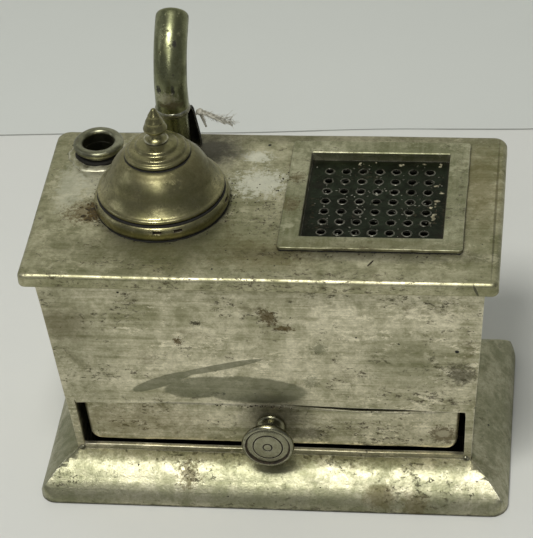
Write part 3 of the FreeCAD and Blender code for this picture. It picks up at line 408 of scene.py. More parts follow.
plate_finish = aged_metal(
    "old_tinned_sheet", rgb(252, 244, 218), rgb(128, 128, 92), rgb(88, 78, 38), 0.42,
    squeeze=(0.035, 1, 1), seed=1.0, stain=0.45, crust=0.60, mottle=0.62, streaks=0.50,
    fleck=0.85, scrape=0.75,
    wiped=(((-6, -34, 45.3), (20, 9, 6.2), -4), ((-22, -34, 46.0), (14, 9, 5.0), 8),
           ((-16.5, -35, 55.6), (17, 9, 1.4), 16), ((-36, -35, 48.4), (12, 9, 2.4), 24)),
    crowded=(((33, -34.7, 54.6), (9, 6, 3), -8), ((39.2, -35.3, 62), (5, 6, 5), 25),
             ((66, -34.7, 56), (9, 6, 9), 0), ((56, -35, 44), (20, 6, 7), 0),
             ((47, -37, 89), (9, 6, 4), 0), ((62, -37, 87), (11, 6, 5), 0),
             ((23, -37, 90.5), (9, 6, 3), 0), ((0, -37, 93), (76, 6, 1.6), 0),
             ((34, -29, 25.5), (18, 6, 5), -3), ((45, -29, 20.5), (20, 6, 3), 0),
             ((-52, -35, 78), (16, 6, 4), 3), ((-58, -34, 52), (9, 6, 5), 0),
             ((-20, -34, 42), (14, 6, 3), 0), ((2, -36, 78), (6, 6, 6), 0),
             ((-29, -35.6, 67.8), (3, 6, 3), 0), ((-22, -36.2, 76.4), (3, 6, 2), 0),
             ((-48, -29, 25), (14, 6, 5), 0), ((60, -29, 24), (5, 6, 5), 0)),
    patches=(
        ((0, -32, 40.5), (14, 9, 3.0), 0, 0.3, 0.3, 4.0, UMBER, 0.40, 0.6),
        ((2.6, -36.5, 80.0), (2.2, 4, 3.4), 20, 1.3, 0.2, 1.5, RUST, 0.80, 0.2),
        ((8.1, -36, 74.7), (3.0, 4, 1.0), 0, 1.2, 0.2, 1.3, RUST, 0.85, 0.2),
        ((-29.3, -35.6, 67.8), (1.3, 4, 1.6), 0, 1.4, 0.2, 1.0, RUST, 0.85, 0.2),
        ((-22.3, -36.2, 76.4), (1.6, 4, 0.9), 0, 1.4, 0.2, 1.0, UMBER, 0.85, 0.2),
        ((-68, -36, 74), (8, 5, 7), 0, 0.6, 0.7, 4.0, RUST, 0.50, 0.5),
        ((-66, -36, 60), (12, 5, 26), 0, 0.5, 0.9, 6.0, rgb(104, 106, 72), 0.40, 0.8),
        ((20, -36, 92), (70, 5, 5), 0, 0.5, 0.9, 6.0, rgb(104, 104, 70), 0.35, 0.8),
        ((50, -36, 60), (14, 5, 10), -10, 0.5, 0.9, 5.0, rgb(112, 114, 80), 0.40, 0.8),
        ((19.1, -35.4, 65.2), (2.2, 4, 2.2), 0, 1.8, 0.5, 1.1, rgb(100, 104, 74), 0.55, 0.7),
        ((15.5, -35.4, 49.5), (2.2, 4, 2.4), 0, 1.8, 0.5, 1.1, rgb(100, 104, 74), 0.50, 0.7),
        ((67, -34.7, 55), (4.5, 4, 4.2), 0, 1.0, 0.4, 2.0, UMBER, 0.65, 0.4),
        ((65.7, -35.5, 65.9), (0.7, 3, 0.7), 0, 0.2, 0.2, 1.0, SOOT_AND_SHADE, 1.0, 0.0),
        ((60, -29, 24.0), (4.6, 4, 3.8), 0, 0.9, 0.2, 1.6, RUST, 0.70, 0.3),
        ((60.2, -29, 24.4), (2.4, 4, 1.7), 0, 0.5, 0.2, 1.5, rgb(196, 190, 164), 0.8, 0.9),
        ((11, -29, 22.8), (9, 4, 2.6), 0, 1.0, 0.3, 2.4, UMBER, 0.5, 0.5),
        ((2, -29, 28), (11, 4, 8.5), 0, 0.4, 0.7, 3.0, UMBER, 0.70, 0.5),
        ((-48, -29, 27), (22, 4, 8), 0, 0.9, 0.6, 3.5, rgb(112, 100, 52), 0.40, 0.6),
    ))

deck_finish = aged_metal(
    "old_tinned_deck", rgb(214, 208, 178), rgb(112, 114, 76), rgb(90, 82, 42), 0.44,
    squeeze=(0.035, 1, 1), seed=4.0, stain=0.50, crust=0.6, mottle=0.62, streaks=0.30,
    fleck=0.75, scrape=0.55,
    crowded=(((4, -28, 100), (18, 7, 9), 0), ((1, -6, 100), (9, 18, 9), 0),
             ((8, 23, 100), (4, 7, 9), 0), ((9, 0, 100), (4, 7, 9), 0),
             ((-62, -8, 100), (10, 8, 9), 0), ((-45, -34, 100), (30, 4, 9), 0),
             ((20, -39, 100), (58, 4, 9), 0), ((0, -41.8, 97), (80, 2, 3), 0)),
    patches=(
        ((-4.0, 12.0, 100), (8.5, 7.0, 4), 0, 1.3, 0.40, 2.0, LIME, 0.75, 0.30),
        ((-7, 27.3, 100), (4.2, 2.8, 4), 0, 1.4, 0.40, 1.5, LIME, 0.75, 0.30),
        ((77.4, 0, 100), (0.4, 38, 4), 0, 0.15, 0.4, 3.0, UMBER, 0.60, 0.5),
        ((72.5, -42, 97.5), (0.45, 3, 2.4), 20, 0.2, 0.3, 1.5, SOOT_AND_SHADE, 0.70, 0.3),
        ((-70, 8.0, 100), (4.5, 13.0, 4), 0, 1.0, 0.5, 2.0, LIME, 0.40, 0.4),
        ((-62.5, 13.0, 100), (4.5, 10.0, 4), 0, 1.0, 0.5, 2.0, LIME, 0.35, 0.4),
        ((-62.5, -7.0, 100), (6.0, 5.0, 4), 0, 1.6, 0.3, 1.5, RUST, 0.70, 0.2),
        # painted shadow: a dark patch on the deck where the pipe and dome cast their shadow
        ((-24, 31, 100), (11, 9.0, 4), 0, 0.35, 0.6, 3.0, SOOT_AND_SHADE, 0.90, 0.3),
        ((8.2, 23, 100), (3.0, 5.0, 4), 0, 1.3, 0.3, 1.5, RUST, 0.5, 0.4),
        ((9.0, -0.4, 100), (2.6, 4.6, 4), 0, 1.3, 0.3, 1.5, RUST, 0.4, 0.4),
        ((2.5, -28, 100), (16, 7.0, 4), 0, 0.9, 0.7, 3.0, rgb(104, 92, 48), 0.45, 0.6),
        ((-37, -26.0, 100), (26, 6, 4), 0, 0.5, 0.8, 4.0, rgb(84, 84, 48), 0.60, 0.7),
        ((72, 12, 100), (6, 20, 4), 0, 0.9, 0.8, 3.0, rgb(110, 100, 54), 0.5, 0.6),
        # painted shadow: a dark band on the deck along the tray frame's lifted front edge
        ((36, -27.5, 100), (34, 3, 4), 0, 0.6, 0.8, 3.0, SOOT_AND_SHADE, 0.55, 0.5),
        ((-3.2, 34.7, 100), (0.6, 0.6, 3), 0, 0.1, 0.2, 1.0, SOOT_AND_SHADE, 1.0, 0.0),
        ((10, 39.5, 101), (70, 3, 5), 0, 0.8, 0.8, 4.0, UMBER, 0.40, 0.6),
    ))

plinth_finish = aged_metal(
    "speckled_moulding", rgb(196, 191, 166), rgb(124, 127, 96), rgb(92, 86, 46), 0.43,
    squeeze=(0.3, 1, 1), seed=9.0, stain=0.25, crust=0.30, mottle=0.72, streaks=0.12, bump=2.8,
    fleck=0.6, scrape=0.3,
    crowded=(((-29, -38, 8), (6, 6, 6), 0), ((0, -32, 14), (72, 2.5, 3), 0),
             ((-74, -40, 5), (7, 6, 7), 0), ((5, -46, 1), (76, 4, 2), 0)),
    patches=(
        ((-29, -38, 8), (3.5, 5, 5), 0, 1.6, 0.3, 1.5, RUST, 0.5, 0.5),
        ((39, -44, 6), (5.5, 4, 4), 0, 0.7, 0.4, 3.0, rgb(92, 82, 42), 0.6, 0.6),
        ((51, -44, 3), (5.0, 4, 4), 0, 0.7, 0.4, 3.0, rgb(92, 82, 42), 0.6, 0.6),
        # painted shade: darker bands along the back of the moulding's top, under the drawer
        ((-20, -32.5, 14), (50, 3.5, 3), 0, 0.8, 0.6, 2.5, rgb(84, 78, 42), 0.55, 0.6),
        ((45, -32.5, 14), (26, 3.5, 3), 0, 0.8, 0.6, 2.5, rgb(84, 78, 42), 0.45, 0.6),
    ))

inner_finish = aged_metal(
    "sooted_inner_sheet", rgb(60, 58, 44), rgb(34, 32, 24), rgb(48, 38, 22), 0.60,
    seed=12.0, stain=0.7, edge=0.2, crust=0.8)

dome_finish = aged_metal(
    "spun_dome_metal", rgb(184, 176, 136), rgb(108, 107, 72), rgb(72, 64, 34), 0.31,
    squeeze=(0.3, 0.3, 1), seed=15.0, stain=0.50, crust=0.55, mottle=0.60, streaks=0.25,
    bump=0.8, grime_and_shade_reach=0.0022, fleck=0.5,
    crowded=(((-21, -2, 108), (6, 9, 9), 0), ((-28, 6, 119), (6, 6, 6), 0),
             ((-52, -6, 109), (7, 9, 6), 0)),
    patches=(
        ((-26, -3, 117), (8, 8, 6), 0, 0.8, 0.7, 3.0, rgb(66, 60, 30), 0.60, 0.6),
        ((-50, -2, 117), (7, 7, 6), 0, 0.8, 0.7, 3.0, rgb(66, 60, 30), 0.40, 0.6),
        # painted shadow: a dark band round the front of the dome just under the lid's edge
        ((-36.5, -14, 120), (14, 3, 1.5), 0, 0.6, 0.5, 2.0, rgb(60, 54, 28), 0.50, 0.6),
    ))

collar_finish = aged_metal(
    "cast_collar", rgb(164, 164, 140), rgb(98, 98, 76), rgb(72, 66, 40), 0.34,
    squeeze=(0.3, 0.3, 1), seed=18.0, stain=0.45, crust=0.6, mottle=0.50, bump=0.9)

pipe_finish = aged_metal(
    "drawn_pipe", rgb(156, 158, 124), rgb(96, 100, 68), rgb(62, 58, 30), 0.31,
    squeeze=(0.4, 0.4, 0.4), seed=21.0, stain=0.50, crust=0.55, mottle=0.60, streaks=0.2,
    bump=1.0, fleck=0.55,
    patches=(
        # painted reflection of the lid and finial low on the pipe: the two dark spots near 128 mm, the
        # pale painted highlight at 125.6 mm and the dark band at 122.8 mm
        ((-39.4, 26, 128.2), (0.9, 4, 1.4), 0, 0.9, 0.2, 1.0, SOOT_AND_SHADE, 0.95, 0.1),
        ((-34.2, 26, 128.6), (0.6, 4, 1.7), 0, 0.9, 0.2, 1.0, SOOT_AND_SHADE, 0.95, 0.1),
        ((-33.6, 35, 142.5), (0.8, 5, 1.3), 0, 0.7, 0.2, 1.0, SOOT_AND_SHADE, 0.95, 0.1),
        ((-36.8, 25, 125.6), (3.4, 4, 1.9), 0, 1.2, 0.5, 1.2, rgb(214, 210, 186), 0.55, 1.0),
        ((-35, 25, 122.8), (4.5, 4, 1.3), 0, 0.8, 0.3, 1.6, rgb(70, 56, 26), 0.7, 0.5),
        ((-34, 25, 134), (0.5, 4, 0.8), 0, 0.5, 0.2, 1.0, SOOT_AND_SHADE, 0.8, 0.2),
    ))

# the stay's near-black colour is painted shade: it stands on the shaded side of the pipe
stay_painted_shade_finish = aged_metal(
    "stay_black_painted_shade", rgb(24, 24, 18), rgb(12, 12, 9), rgb(28, 24, 14), 0.62,
    seed=24.0, stain=0.5, edge=0.35, crust=0.8)

knob_finish = aged_metal(
    "turned_knob", rgb(172, 170, 146), rgb(104, 102, 78), rgb(62, 56, 34), 0.24,
    squeeze=(0.4, 0.4, 0.4), seed=27.0, stain=0.35, crust=0.35, mottle=0.50, streaks=0.2,
    bump=0.6, grime_and_shade_reach=0.0012)

fire_finish = aged_metal(
    "dull_fire_frame", rgb(200, 197, 168), rgb(108, 112, 76), rgb(90, 82, 42), 0.46,
    squeeze=(1, 0.06, 1), seed=30.0, stain=0.55, crust=0.7, mottle=0.65, streaks=0.3,
    fleck=0.7, scrape=0.6,
    crowded=(((36.5, -25.5, 101), (32, 1.6, 3), 0), ((8.5, 14, 101), (3, 5, 3), 0),
             ((8.5, -1, 101), (3, 6, 3), 0), ((65, 5, 101), (2, 30, 3), 0)),
    patches=(
        ((8.5, 14, 101), (2.4, 2.4, 3), 0, 1.4, 0.3, 1.3, RUST, 0.6, 0.4),
        ((8.2, -2, 101), (2.6, 4.0, 3), 0, 1.4, 0.3, 1.3, RUST, 0.5, 0.4),
        ((36.5, -24, 101), (34, 3.5, 3), 0, 0.8, 0.6, 3.0, rgb(104, 98, 58), 0.40, 0.7),
    ))

grate_finish = aged_metal(
    "sooted_grate", rgb(50, 60, 44), rgb(24, 28, 20), rgb(44, 30, 28), 0.50,
    squeeze=(1, 1, 1), seed=33.0, stain=0.6, crust=0.5, edge=0.5, mottle=0.8, bump=1.6)

solder_finish = aged_metal(
    "bright_solder", rgb(186, 186, 168), rgb(108, 106, 84), rgb(84, 74, 44), 0.28,
    squeeze=(1, 1, 1), seed=36.0, stain=0.5, crust=0.6, mottle=0.6, bump=1.4)

burr_finish = aged_metal(
    "worn_burr", rgb(52, 58, 42), rgb(20, 24, 16), rgb(60, 46, 28), 0.5,
    squeeze=(1, 1, 1), seed=39.0, stain=0.9, crust=1.0, mottle=1.0, bump=1.0, grime_and_shade=0.5)


def plain_dull(name, light, dark, size=1.4):
    """Dull, in two tones: for dirt, crust, ash and thread, and for painted shade."""
    material = bpy.data.materials.new(name)
    material.use_nodes = True
    w = Wiring(material.node_tree)
    shader = material.node_tree.nodes["Principled BSDF"]
    tone = w.noise(w.place_in_mm(), size, 4.0, 0.7)
    w.feed(shader.inputs["Base Color"], w.colour_mix(w.step(tone, 0.35, 0.65), light, dark))
    relief = w.put("ShaderNodeBump")
    relief.inputs["Distance"].default_value = 0.2 * MM
    w.feed(relief.inputs["Height"], tone)
    w.feed(shader.inputs["Normal"], relief.outputs[0])
    shader.inputs["Roughness"].default_value = 0.85
    return material


dirt_finish = plain_dull("dry_dirt", rgb(62, 52, 32), rgb(24, 20, 12))
# a dull, near-black material for painted shade: dark rings round the turned pieces and a row of crumbs
# under the tray's edge
painted_shade_finish = plain_dull("painted_shade_soot", rgb(22, 20, 12), rgb(9, 8, 5))
crust_finish = plain_dull("brown_crust", rgb(84, 70, 32), rgb(32, 26, 12))
ash_finish = plain_dull("pale_ash", rgb(176, 170, 142), rgb(96, 90, 66))
thread_finish = plain_dull("old_thread", rgb(206, 204, 192), rgb(150, 146, 130), 2.0)

SLOT_FINISH = {
    "plated_sheet": plate_finish, "deck_sheet": deck_finish, "plinth_moulding": plinth_finish,
    "inner_sheet": inner_finish, "spun_brass": dome_finish, "cast_collar": collar_finish,
    "drawn_tube": pipe_finish, "dark_iron": stay_painted_shade_finish, "turned_knob": knob_finish,
    "fire_frame_plate": fire_finish, "sooty_grate": grate_finish,
}
node_slot = {part["node"]: part["material_slot"] for part in frame["record"]["subparts"]}
for node, part in frame["nodes"].items():
    part.data.materials.clear()
    part.data.materials.append(SLOT_FINISH[node_slot[node]])


# ------------------------------------------------------------------ mesh work
def mm(x, y, z):
    return Vector((x, y, z)) * MM


def middle(node):
    low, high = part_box(node)
    return (low + high) / 2


def hand_worked(point):
    """How far the old sheet has strayed from true at a point: long waves and small dents."""
    away = 0.22 * noise.noise_vector(point / (38 * MM)) + 0.05 * noise.noise_vector(point / (11 * MM))
    return away * MM * min(1.0, point.z / (4 * MM))


def shape_by_hand(bm, share=1.0):
    for vert in bm.verts:
        vert.co += hand_worked(vert.co) * share


def merged_copy(node):
    """A copy of a CAD node's mesh, merged, with its flat faces whole again."""
    bm = bmesh.new()
    bm.from_mesh(frame["nodes"][node].data)
    bmesh.ops.remove_doubles(bm, verts=bm.verts, dist=0.004 * MM)
    bmesh.ops.dissolve_limit(bm, angle_limit=math.radians(0.5), verts=bm.verts, edges=bm.edges)
    return bm


def scribe(bm, steps):
    """Cut the mesh along a grid, steps mm apart in X, Y and Z, so that it can be worked."""
    for axis, step in enumerate(steps):
        places = [vert.co[axis] for vert in bm.verts]
        low, high = min(places), max(places)
        rows = int((high - low) / (step * MM)) if step else 0
        for row in range(1, rows + 1):
            point, across = Vector(), Vector()
            point[axis] = low + (high - low) * row / (rows + 1)
            across[axis] = 1.0
            bmesh.ops.bisect_plane(bm, geom=bm.verts[:] + bm.edges[:] + bm.faces[:],
                                   dist=0.001 * MM, plane_co=point, plane_no=across)


def ease_edges(bm, width, wanted, segments=2):
    """Round the sharp edges that wanted(edge) picks."""
    bm.normal_update()
    sharp = [edge for edge in bm.edges
             if len(edge.link_faces) == 2 and edge.calc_face_angle(0) > 0.5 and wanted(edge)]
    bmesh.ops.bevel(bm, geom=sharp, offset=width * MM, segments=segments, profile=0.5,
                    affect="EDGES", material=-1, clamp_overlap=True)


def make_piece(bm, name, body, slot, nodes=(), sharp=32, finish=None, second=None):
    """Turn the mesh into a named piece that rides on a body and takes a slot's finish.

    second is another finish, for the faces whose material index is 1.
    """
    bmesh.ops.remove_doubles(bm, verts=bm.verts, dist=0.001 * MM)
    mesh = bpy.data.meshes.new(name)
    bm.to_mesh(mesh)
    bm.free()
    mesh.shade_smooth()
    mesh.set_sharp_from_angle(angle=math.radians(sharp))
    mesh.materials.append(finish or SLOT_FINISH[slot])
    if second:
        mesh.materials.append(second)
    piece = bpy.data.objects.new(name, mesh)
    scene.collection.objects.link(piece)
    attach(piece, body)
    if nodes:
        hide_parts(*nodes)
    return piece


def along(edge, axis, share=0.98):
    """True for an edge that runs mostly along an axis."""
    run = edge.verts[1].co - edge.verts[0].co
    return run.length > 0 and abs(run[axis]) / run.length > share


# ------------------------------------------------------------------ casing
deck_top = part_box("filler_foot")[0].z

bm = merged_copy("deck_plate")
scribe(bm, (3.0, 3.0, 0))
shape_by_hand(bm)
make_piece(bm, "deck", "casing", "deck_sheet", ["deck_plate"])


CORNER_X, CORNER_Y = 66, 31
SILL_LEVEL, MOUTH_TOP = 16.2, 37.6


def outer_corner(edge):
    """The casing's upright corner edges."""
    start = edge.verts[0].co
    return abs(start.x) > CORNER_X * MM and abs(start.y) > CORNER_Y * MM and along(edge, 2)


def sill(edge):
    """The outer edge of the strip that the drawer slides over."""
    start = edge.verts[0].co
    return along(edge, 0) and abs(start.z - SILL_LEVEL * MM) < 0.1 * MM and start.y < -CORNER_Y * MM


bm = merged_copy("casing_front")
ease_edges(bm, 0.5, outer_corner)
ease_edges(bm, 1.1, sill, 4)
scribe(bm, (3.0, 0, 3.0))
shape_by_hand(bm)
for vert in bm.verts:
    from_mouth = max(0.0, 1 - abs(vert.co.z - MOUTH_TOP * MM) / (5 * MM))
    if abs(vert.co.x) < CORNER_X * MM:
        vert.co.z += 0.35 * MM * from_mouth * noise.noise(vert.co / (16 * MM))
make_piece(bm, "front_wall", "casing", "plated_sheet", ["casing_front"])

for side in ("rear", "left", "right"):
    bm = merged_copy("casing_" + side)
    ease_edges(bm, 0.5, outer_corner)
    scribe(bm, (3.0 if side == "rear" else 0, 0 if side == "rear" else 3.0, 3.0))
    shape_by_hand(bm)
    make_piece(bm, side + "_wall", "casing", "plated_sheet", ["casing_" + side])


def on_mitre(edge):
    """The slanting edges where two plinth mouldings meet."""
    run = edge.verts[1].co - edge.verts[0].co
    return min(abs(run.x), abs(run.y)) > 0.02 * MM


for side in ("front", "rear", "left", "right"):
    bm = merged_copy("plinth_" + side)
    ease_edges(bm, 0.16, on_mitre, 1)
    long_way = (3.0, 0, 2.0) if side in ("front", "rear") else (0, 3.0, 2.0)
    scribe(bm, long_way)
    shape_by_hand(bm)
    make_piece(bm, side + "_moulding", "casing", "plinth_moulding", ["plinth_" + side], sharp=40)

# the stay takes the near-black finish, which paints its shade into its colour
bm = merged_copy("pipe_stay")
ease_edges(bm, 0.3, lambda edge: True)
make_piece(bm, "stay", "casing", "dark_iron", ["pipe_stay"])


def lump(bm, spot, size, squash=(1, 1, 1), turn=0.0, level=2):
    """A small drop of metal or dirt at a spot in mm."""
    made = bmesh.ops.create_icosphere(bm, subdivisions=level, radius=size * MM)
    bmesh.ops.scale(bm, vec=squash, verts=made["verts"])
    bmesh.ops.rotate(bm, verts=made["verts"], matrix=Matrix.Rotation(math.radians(turn), 3, "Z"))
    bmesh.ops.translate(bm, verts=made["verts"], vec=mm(*spot))
    for vert in made["verts"]:
        vert.co += noise.noise_vector(vert.co / (0.9 * size * MM)) * size * 0.22 * MM
    return made["verts"]


# solder drops at the foot of the drawer opening
bm = bmesh.new()
for side in (-1, 1):
    lump(bm, (side * 67.9, -31.9, 14.9), 0.75, (1.2, 0.8, 0.9))
    lump(bm, (side * 68.6, -31.9, 14.3), 0.5, (1.3, 0.7, 0.7))
make_piece(bm, "mouth_solder", "casing", "plated_sheet", finish=solder_finish, sharp=180)


# ------------------------------------------------------------------ turned pieces
def bow(start, through, end, parts=7):
    """Points on the arc from start through a middle point to end, start left out."""
    (ax, ay), (bx, by), (cx, cy) = start, through, end
    d = 2 * (ax * (by - cy) + bx * (cy - ay) + cx * (ay - by))
    a, b, c = ax * ax + ay * ay, bx * bx + by * by, cx * cx + cy * cy
    ox = (a * (by - cy) + b * (cy - ay) + c * (ay - by)) / d
    oy = (a * (cx - bx) + b * (ax - cx) + c * (bx - ax)) / d
    first = Vector((ax - ox, ay - oy))
    sweep = -first.angle_signed(Vector((bx - ox, by - oy))) - Vector(
        (bx - ox, by - oy)).angle_signed(Vector((cx - ox, cy - oy)))
    points = []
    for part in range(1, parts + 1):
        arm = Matrix.Rotation(sweep * part / parts, 2) @ first
        points.append((ox + arm.x, oy + arm.y))
    return points


def turned(outline, foot, lie_down=False, rounds=96):
    """Spin an outline of (radius, height) points in mm about the upright line at foot."""
    bm = bmesh.new()
    corners = [bm.verts.new(mm(radius, 0, height)) for radius, height in outline]
    for one, next_one in zip(corners, corners[1:]):
        bm.edges.new((one, next_one))
    if outline[0][0] > 0:
        bm.edges.new((corners[-1], corners[0]))
    bmesh.ops.spin(bm, geom=bm.verts[:] + bm.edges[:], cent=(0, 0, 0), axis=(0, 0, 1),
                   angle=math.tau, steps=rounds, use_merge=True, use_duplicate=False)
    bmesh.ops.remove_doubles(bm, verts=bm.verts, dist=0.001 * MM)
    bmesh.ops.recalc_face_normals(bm, faces=bm.faces)
    if lie_down:
        bmesh.ops.rotate(bm, verts=bm.verts, matrix=Matrix.Rotation(math.radians(-90), 3, "X"))
    bmesh.ops.translate(bm, verts=bm.verts, vec=foot)
    return bm


def dent(bm, amount, size, seed=0.0):
    """Push the skin in and out by soft waves, amount and size in mm."""
    for vert in bm.verts:
        wave = noise.noise_vector(vert.co / (size * MM) + Vector((seed, seed, seed)))
        vert.co += wave * amount * MM


def foot_of(node, level=None):
    """The point on a turned node's axis at its lower end, or at a level in metres."""
    centre = middle(node)
    return Vector((centre.x, centre.y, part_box(node)[0].z if level is None else level))


dome_foot = foot_of("dome_cover")
rim = [(20.4, 0.0), (21.3, 0.0)] + bow((21.3, 0.0), (21.85, 0.75), (21.3, 1.5), 6)
rim += [(21.0, 1.62), (20.75, 1.75)]
flare = bow((20.75, 1.75), (18.9, 4.0), (17.5, 6.8), 12)
shoulder = bow((17.5, 6.8), (15.2, 11.2), (13.4, 13.2), 10)
shoulder += bow((13.4, 13.2), (12.3, 14.1), (10.6, 14.4), 6)
mouth = [(10.2, 14.4), (8.0, 14.4), (8.0, 13.4)]
inside = [(10.2, 13.4)] + bow((10.2, 13.4), (14.5, 11.1), (16.4, 7.4)) + bow(
    (16.4, 7.4), (17.5, 4.3), (19.7, 1.2)) + [(20.3, 0.6)]
bm = turned(rim + flare + shoulder + mouth + inside, dome_foot, rounds=120)
dent(bm, 0.10, 14.0, 2.0)
make_piece(bm, "dome", "dome", "spun_brass", ["dome_cover"])

lid_foot = foot_of("dome_lid")
steps_up = [(0.0, 0.0), (10.9, 0.0), (11.25, 0.35), (11.3, 0.8), (11.1, 1.25), (10.7, 1.5),
            (10.2, 1.55), (10.0, 1.75), (9.8, 2.2), (9.75, 2.55), (9.5, 2.8), (9.0, 2.85),
            (8.0, 3.0), (7.55, 3.1), (7.3, 3.35), (7.15, 3.9), (6.9, 4.25), (6.4, 4.4)]
crown = bow((6.4, 4.4), (4.4, 5.0), (2.6, 5.7), 6) + [(0.0, 5.8)]
bm = turned(steps_up + crown, lid_foot)
dent(bm, 0.05, 5.0, 4.0)
make_piece(bm, "lid", "lid", "spun_brass", ["dome_lid"], sharp=50)

finial_foot = foot_of("lid_finial")
stem = [(0.0, 0.0), (4.2, 0.0), (3.3, 0.3), (2.5, 0.9), (2.0, 1.8), (1.85, 2.8)]
cup = bow((1.85, 2.8), (3.0, 3.0), (3.8, 3.7), 8) + bow((3.8, 3.7), (4.05, 4.3), (3.8, 5.0), 5)
cone = [(3.3, 6.2), (3.0, 6.9), (3.05, 7.1), (2.9, 7.3), (2.35, 8.5), (1.95, 9.3), (2.0, 9.5),
        (1.85, 9.7), (1.35, 10.7), (1.0, 11.3)]
bm = turned(stem + cup + cone + bow((1.0, 11.4), (0.65, 11.85), (0.0, 12.0), 5), finial_foot,
            rounds=64)
dent(bm, 0.10, 2.2, 6.0)
make_piece(bm, "finial", "lid", "spun_brass", ["lid_finial"], sharp=60)

SLOT_LOW, SLOT_HIGH, SLOT_INNER, SLOT_OUTER, SLOTS_TURN = 3.5, 4.6, 21.8, 22.56, 10
bm = merged_copy("seat_ring")
seat_axis = middle("seat_ring")
bm.normal_update()
for face in bm.faces:
    out = face.calc_center_median() - seat_axis
    if SLOT_LOW * MM < out.z + seat_axis.z - deck_top < SLOT_HIGH * MM:
        if abs(face.normal.z) > 0.8 or SLOT_INNER * MM < out.xy.length < SLOT_OUTER * MM:
            face.material_index = 1
slots_round = Matrix.Rotation(math.radians(SLOTS_TURN), 3, "Z")
bmesh.ops.rotate(bm, verts=bm.verts, cent=seat_axis, matrix=slots_round)
dent(bm, 0.08, 9.0, 8.0)
make_piece(bm, "boiler_seat", "casing", "spun_brass", ["seat_ring"], sharp=38, second=dirt_finish)


def painted_shade_soot(name, body, slot, outline, foot, amount, size, seed):
    """A dark ring laid round a turned piece where it meets the next part: painted shade in a soot
    colour.
    """
    ring = turned(outline, foot)
    dent(ring, amount, size, seed)
    make_piece(ring, name, body, slot, finish=painted_shade_finish, sharp=180)


# painted shade: dark rings under the dome's rim, under the lid's edge and round the seat's foot
seat_foot = Vector((seat_axis.x, seat_axis.y, deck_top))
painted_shade_soot("rim_painted_shade", "casing", "spun_brass",
            [(20.7, 5.2), (22.15, 5.2), (22.1, 5.6), (21.7, 6.05), (20.7, 6.1)],
            seat_foot, 0.08, 2.0, 9.0)
painted_shade_soot("lid_painted_shade", "dome", "spun_brass",
            [(9.6, 14.1), (11.75, 13.8), (11.65, 14.2), (11.1, 14.6), (9.6, 14.7)],
            dome_foot, 0.12, 2.0, 11.0)
painted_shade_soot("seat_painted_shade", "casing", "spun_brass",
            [(20.8, -0.2), (23.1, -0.2), (22.6, 0.25), (21.6, 0.6), (20.8, 0.6)],
            seat_foot, 0.28, 2.2, 13.0)

bead_foot = foot_of("filler_collar", deck_top)
bead_high = (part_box("filler_collar")[1].z - deck_top) / MM
neck = [(6.6, 0.7), (7.9, 0.7), (7.35, 1.2), (7.1, 1.7), (7.1, bead_high - 3.0)]
roll = bow((7.1, bead_high - 3.0), (8.9, bead_high - 1.5), (7.2, bead_high - 0.02), 12)
throat = bow((7.2, bead_high - 0.02), (5.9, bead_high - 0.45), (5.5, bead_high - 1.7), 6)
bm = turned(neck + roll + throat + [(5.7, 1.2), (6.6, 1.2)], bead_foot)
dent(bm, 0.16, 6.0, 10.0)
# painted shadow: a dark ring under the filler's bead
painted_shade_soot("filler_painted_shade", "casing", "cast_collar",
            [(6.6, 0.6), (8.6, 0.6), (8.0, 1.5), (7.0, 2.2), (6.6, 2.2)],
            bead_foot, 0.25, 2.2, 15.0)
make_piece(bm, "filler_neck", "casing", "cast_collar", ["filler_collar"], sharp=50)

# the filler's foot is a thick, uneven smear of solder over its disc
smear = [(6.6, 0.0), (11.0, 0.0), (10.8, 0.15), (10.0, 0.40), (9.0, 0.62), (8.0, 0.80), (6.6, 0.86)]
bm = turned(smear, bead_foot)
for vert in bm.verts:
    out = vert.co - bead_foot
    if out.xy.length > 9 * MM:
        spread = 0.09 * noise.noise(vert.co / (5.5 * MM)) + 0.05 * noise.noise(vert.co / (1.8 * MM))
        vert.co.xy = bead_foot.xy + out.xy * (1.0 + spread)
    if out.z > 0.2 * MM:
        vert.co.z += 0.35 * MM * noise.noise(vert.co / (2.4 * MM))
make_piece(bm, "filler_solder", "casing", "cast_collar", ["filler_foot"], finish=deck_finish, sharp=180)

GROOVES = ((7.35, 7.9), (4.9, 5.3), (1.3, 1.7))
knob_foot = middle("knob_stud")
knob_foot.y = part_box("drawer_knob")[1].y
stem = [(1.5, 0.0), (5.1, 0.0), (5.1, -1.2), (4.9, -1.6), (4.4, -1.9), (2.9, -2.3)]
flute = bow((2.9, -2.3), (2.5, -4.2), (3.0, -6.6), 6)
flute += bow((3.0, -6.6), (4.6, -8.4), (8.3, -9.6), 8)
lip = bow((8.3, -9.6), (9.2, -10.7), (8.7, -11.85), 8)
face = [(8.35, -12.0), (7.95, -11.95), (7.75, -11.5), (7.55, -11.3), (7.3, -11.35), (7.0, -11.6),
        (5.6, -11.75), (5.35, -11.72), (5.2, -11.3), (5.0, -11.3), (4.85, -11.8), (4.5, -11.95),
        (2.0, -12.1), (1.8, -12.05), (1.65, -11.7), (1.4, -11.7), (1.25, -12.05), (0.9, -12.15),
        (0.0, -12.15)]
bm = turned([(0.0, -4.0), (1.5, -4.0)] + stem + flute + lip + face, knob_foot, lie_down=True)
for face in bm.faces:
    out = face.calc_center_median() - knob_foot
    radius = math.hypot(out.x, out.z) / MM
    grooved = any(low < radius < high for low, high in GROOVES)
    if grooved and out.y < -11 * MM:
        face.material_index = 1
dent(bm, 0.06, 4.0, 12.0)
make_piece(bm, "knob", "ash_drawer", "turned_knob", ["drawer_knob"], sharp=42, second=dirt_finish)


